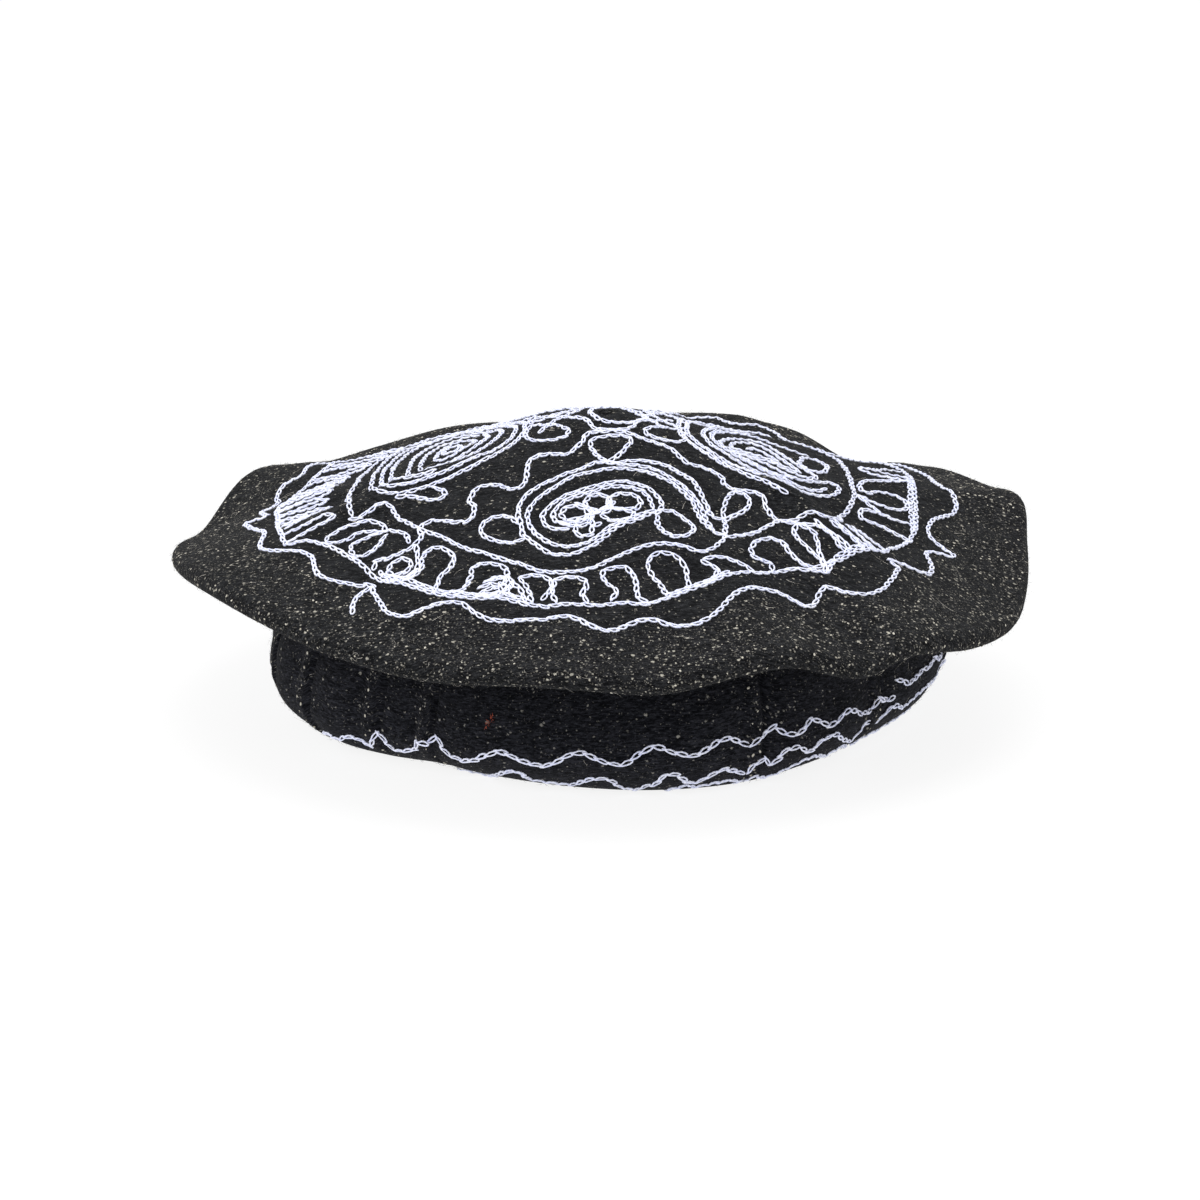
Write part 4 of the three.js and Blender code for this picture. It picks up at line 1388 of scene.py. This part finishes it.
def row_behind(start, end, first, last, swing):
    """A wavy row of the band around the back, between two angles and two heights in percent."""
    degrees_per_point = 4
    count = int((end - start) / degrees_per_point)
    share = np.linspace(0, 1, count)
    height = lerp(first, last, share) + swing * np.cos(np.pi * np.arange(count))
    return np.stack([lerp(start, end, share), height], -1)


# Rows of the band behind: first and last angle, first and last height, and half the waves' height
ROWS_BEHIND = [
    (0, 186, 46, 22, 2.5),
    (-9, 184, 33, 12, 4),
    (-36, 182, 14, 5, 2),
]

paisley = [PAISLEY_HOOD, PAISLEY_OUTER, PAISLEY_INNER, SPIRAL_OUTER, SPIRAL_INNER, *PETALS]
paisley = [*paisley, LEFT_BERRY, RIGHT_BERRY, CUSP_DROP]
middle = [CENTRE_STAR, *STAR_DROPS]

sew("crown_thread_front", [*paisley, TOP_DROP, STEP_LINE, STEP_LINE_LEFT, SCALLOP])
sew("crown_thread_right", [*RIGHT_PAISLEY, *turned([STEP_LINE], 1, SIDE_RADII), SCALLOP_RIGHT])
sew("crown_thread_left", [*LEFT_PAISLEY, SCALLOP_LEFT])
sew("crown_thread_back", turned([*paisley, TOP_DROP, STEP_LINE, SCALLOP], 2, BACK_RADII))
sew("crown_thread_middle", [CENTRE_RING, *middle, *turned(middle, 2, FRONT_RADII)])
side_rows = [side_loop(*row) for row in SIDE_LOOPS]
sew("crown_thread_border", [BASE_LINE, border_back(BASE_LINE), *BASE_DOUBLE, *LOOPS, *TANGLES, TAIL])
sew("crown_thread_loops", [*SIDE_ROWS, *side_rows])
sew("crown_thread_rim", [ZIGZAG, border_back(ZIGZAG)])
rows_behind = [row_behind(*row) for row in ROWS_BEHIND]
sew("band_thread", [*BAND_ROWS, *rows_behind], on_band, BAND_STEP, BAND_PITCH)

# Loose wool: knots, short fibres that stand off the cloth, and a few long pale hairs


def ribbon_faces(count, lines):
    """Quads of ribbons with two points on each line across."""
    k = np.arange(lines - 1)
    quads = np.stack([2 * k, 2 * k + 1, 2 * k + 3, 2 * k + 2], -1)
    return (quads[None] + (np.arange(count) * 2 * lines)[:, None, None]).reshape(-1, 4)


def fibres(name, starts, normals, material, slot, length, lift, width, lines=4, curl=0.5):
    """Thin ribbons that start on the cloth and run along it, bending as they go."""
    count = len(starts)
    heading = unit(np.cross(normals, rng.normal(size=(count, 3))))
    side = np.cross(normals, heading)
    lengths = length * rng.uniform(0.5, 1.5, count)
    rise = lift * rng.uniform(0.2, 1.6, count)
    bend = rng.normal(0, curl, count)
    turn = rng.uniform(0, np.pi, count)[:, None, None]
    t = np.linspace(0, 1, lines)
    angle = (bend[:, None] * t[None, :] * 2)[..., None]
    climb = (rise[:, None] * (1 - t[None, :] * 0.8))[..., None]
    forward = np.cos(angle) * heading[:, None] + np.sin(angle) * side[:, None] + climb * normals[:, None]
    path = starts[:, None] + np.cumsum(forward, axis=1) * (lengths / lines)[:, None, None]
    across = np.cos(turn) * side[:, None] + np.sin(turn) * normals[:, None]
    half = 0.5 * width * (1 - 0.6 * t)[None, :, None] * across
    points = np.stack([path - half, path + half], axis=2).reshape(-1, 3)
    detail_piece(name, points, ribbon_faces(count, lines), material)


def nubs(name, centres, normals, size):
    """Small flattened knots of pale wool in the cloth."""
    ball = bmesh.new()
    bmesh.ops.create_icosphere(ball, subdivisions=1, radius=1)
    template = np.array([v.co[:] for v in ball.verts])
    triangles = np.array([[v.index for v in face.verts] for face in ball.faces])
    ball.free()
    count = len(centres)
    east = unit(np.cross(normals, rng.normal(size=(count, 3))))
    north = np.cross(normals, east)
    stretch = size * rng.uniform(0.6, 1.4, (count, 1, 1)) * np.array([1.2, 0.8, 0.45])
    shaped = template[None] * stretch * rng.uniform(0.85, 1.15, (count, len(template), 1))
    axes = np.stack([east, north, normals], 1)
    points = centres[:, None] + shaped @ axes
    faces = triangles[None] + (np.arange(count) * len(template))[:, None, None]
    detail_piece(name, points.reshape(-1, 3), faces.reshape(-1, 3), knot_wool)


def picked(lines, normals, count, weight):
    """Random points of a grid of lines, with their normals."""
    share = weight.ravel() / weight.sum()
    chosen = rng.choice(share.size, count, p=share)
    i, k = np.divmod(chosen, lines.shape[1])
    next_i = (i + 1) % lines.shape[0]
    next_k = np.minimum(k + 1, lines.shape[1] - 1)
    a = rng.uniform(0, 1, (count, 1))
    b = rng.uniform(0, 1, (count, 1))
    near = lerp(lines[i, k], lines[next_i, k], a)
    far = lerp(lines[i, next_k], lines[next_i, next_k], a)
    return lerp(near, far, b), normals[i, k]


def areas(lines):
    """How much cloth each point of a grid stands for."""
    along = np.linalg.norm(np.roll(lines, -1, axis=0) - lines, axis=-1)
    across = np.linalg.norm(np.gradient(lines, axis=1), axis=-1)
    return along * across


# Loose wool grows where the cloth is seen: the crown down to just below its rim, and the band's face
OUTER_STEPS = TOP_STEPS + EDGE_STEPS
seen_steps = OUTER_STEPS + 4
crown_face = crown_lines[:, :seen_steps]
crown_face_normals = crown_normals[:, :seen_steps]
crown_area = areas(crown_face)
rim_area = np.zeros_like(crown_area)
rim_area[:, TOP_STEPS - 3:OUTER_STEPS] = crown_area[:, TOP_STEPS - 3:OUTER_STEPS]
band_outside = band_lines[:, 2:BAND_FACE_STEPS]
band_normals = normals_of(band_outside)
if band_normals[0, 0] @ polar(1.0, band_angles[0], 0) < 0:
    band_normals = -band_normals
band_area = areas(band_outside)

# Knots in two lines down each tuck
KNOTS_PER_TUCK = 20
KNOTS_KEPT = 0.75
KNOT_LINE = 0.55
BAND_KNOT = 0.42
CROWN_KNOT = 0.36
CROWN_KNOTS = 900
knot_rows = []
for place, lean in TUCKS:
    heights = np.linspace(0.12, 0.9, KNOTS_PER_TUCK) + rng.uniform(-0.012, 0.012, KNOTS_PER_TUCK)
    beside = np.where(np.arange(KNOTS_PER_TUCK) % 2, KNOT_LINE, -KNOT_LINE)
    beside = beside + rng.uniform(-0.2, 0.2, KNOTS_PER_TUCK)
    kept = rng.uniform(0, 1, KNOTS_PER_TUCK) < KNOTS_KEPT
    angles_here = place + beside - lean * (heights - BELLY_SHARE)
    knot_rows.append(np.stack([angles_here, heights * 100], -1)[kept])
knots = np.concatenate(knot_rows)
nubs("band_knots", on_band(knots), face_normals(on_band, knots, BAND_STEP), BAND_KNOT)
outside_area = crown_area * outside[:, :seen_steps]
starts, directions = picked(crown_face, crown_face_normals, CROWN_KNOTS, outside_area)
nubs("crown_knots", starts, directions, CROWN_KNOT)

crown_ground = (crown_face, crown_face_normals, "crown_wool")
band_ground = (band_outside, band_normals, "band_wool")
crown_nap = {"material": dark_hair, "length": 1.8, "lift": 0.3, "width": 0.07}
rim_nap = {"material": dark_hair, "length": 1.3, "lift": 0.9, "width": 0.06}
band_nap = {"material": dark_hair, "length": 1.6, "lift": 0.5, "width": 0.07}
crown_hair = {"material": pale_hair, "length": 6, "lift": 0.16, "width": 0.1, "lines": 14, "curl": 2}
band_hair = {"material": pale_hair, "length": 4.5, "lift": 0.25, "width": 0.09, "lines": 14, "curl": 2}
lint = {"slot": "band_wool", "length": 1.3, "lift": 0.4, "width": 0.22}

# Fibres: piece, ground, how much of it grows on each part, how many, and what they are like
LOOSE_WOOL = [
    ("crown_nap", crown_ground, crown_area, 9000, crown_nap),
    ("rim_nap", crown_ground, rim_area, 5000, rim_nap),
    ("band_nap", band_ground, band_area, 7000, band_nap),
    ("crown_hairs", crown_ground, crown_area, 420, crown_hair),
    ("band_hairs", band_ground, band_area, 110, band_hair),
]
for name, ground, weight, count, kind in LOOSE_WOOL:
    lines, normals, slot = ground
    starts, directions = picked(lines, normals, count, weight)
    fibres(name, starts, directions, slot=slot, **kind)

# Streaks of coloured lint on the band: piece, both ends on the chart, how many fibres and material
LINT = [
    ("red_lint", (-111.6, 51), (-109.9, 56), 26, red_wool),
    ("blue_lint", (-101.6, 77), (-101.1, 82), 14, blue_wool),
]
for name, start, end, count, material in LINT:
    chart = lerp(np.array(start), np.array(end), rng.uniform(0, 1, (count, 1)))
    fibres(name, on_band(chart), face_normals(on_band, chart, BAND_STEP), material, **lint)

# Floor and light, in metres and watts

FLOOR_REACH = 6
FLOOR_GREY = 0.14
FLOOR_GLOW = 0.87
WORLD_STRENGTH = 0.94

floor_white, _, floor_shader = new_material("floor_white")
set_inputs(floor_shader, {"Base Color": (FLOOR_GREY, FLOOR_GREY, FLOOR_GREY, 1), "Roughness": 1})
set_inputs(floor_shader, {"Specular IOR Level": 0})
set_inputs(floor_shader, {"Emission Color": (1, 1, 1, 1), "Emission Strength": FLOOR_GLOW})
floor_mesh = bpy.data.meshes.new("floor")
floor_corners = [(x * FLOOR_REACH, y * FLOOR_REACH, 0) for x, y in ((-1, -1), (1, -1), (1, 1), (-1, 1))]
floor_mesh.from_pydata(floor_corners, [], [(0, 1, 2, 3)])
floor_mesh.materials.append(floor_white)
floor = bpy.data.objects.new("floor", floor_mesh)
bpy.context.scene.collection.objects.link(floor)

world = bpy.data.worlds.new("studio")
bpy.context.scene.world = world
world.use_nodes = True
background = world.node_tree.nodes["Background"]
set_inputs(background, {"Color": (1, 1, 1, 1), "Strength": WORLD_STRENGTH})


def area_light(name, place, target, size, watts):
    data = bpy.data.lights.new(name, "AREA")
    data.shape = "SQUARE"
    data.size = size
    data.energy = watts
    lamp = bpy.data.objects.new(name, data)
    bpy.context.scene.collection.objects.link(lamp)
    lamp.location = place
    lamp.rotation_euler = (Vector(target) - Vector(place)).to_track_quat("-Z", "Y").to_euler()


area_light("softbox_top", place=(0.1, -0.1, 1.6), target=(0, 0, 0), size=1, watts=12)
area_light("softbox_left", place=(-1.1, -0.9, 0.9), target=(0, 0, 0.05), size=0.7, watts=8)

# Camera

camera_data = bpy.data.cameras.new("camera")
camera_data.lens = CAMERA_LENS
camera_data.sensor_width = SENSOR
camera_data.clip_end = CAMERA_SIGHT
camera = bpy.data.objects.new("camera", camera_data)
bpy.context.scene.collection.objects.link(camera)
elevation = math.radians(CAMERA_ELEVATION)
away = [0, -math.cos(elevation), math.sin(elevation)]
spot = Vector(placed(CAMERA_DISTANCE * np.array(away)))
aim = Vector(placed([0, 0, 0]))
camera.location = spot
look = (aim - spot).to_track_quat("-Z", "Y").to_matrix()
tilt = Matrix.Rotation(math.radians(CAMERA_TILT), 3, "X")
pan = Matrix.Rotation(math.radians(CAMERA_PAN), 3, "Y")
camera.rotation_euler = (look @ pan @ tilt).to_euler()
bpy.context.scene.camera = camera
bpy.context.scene.view_settings.view_transform = "Standard"
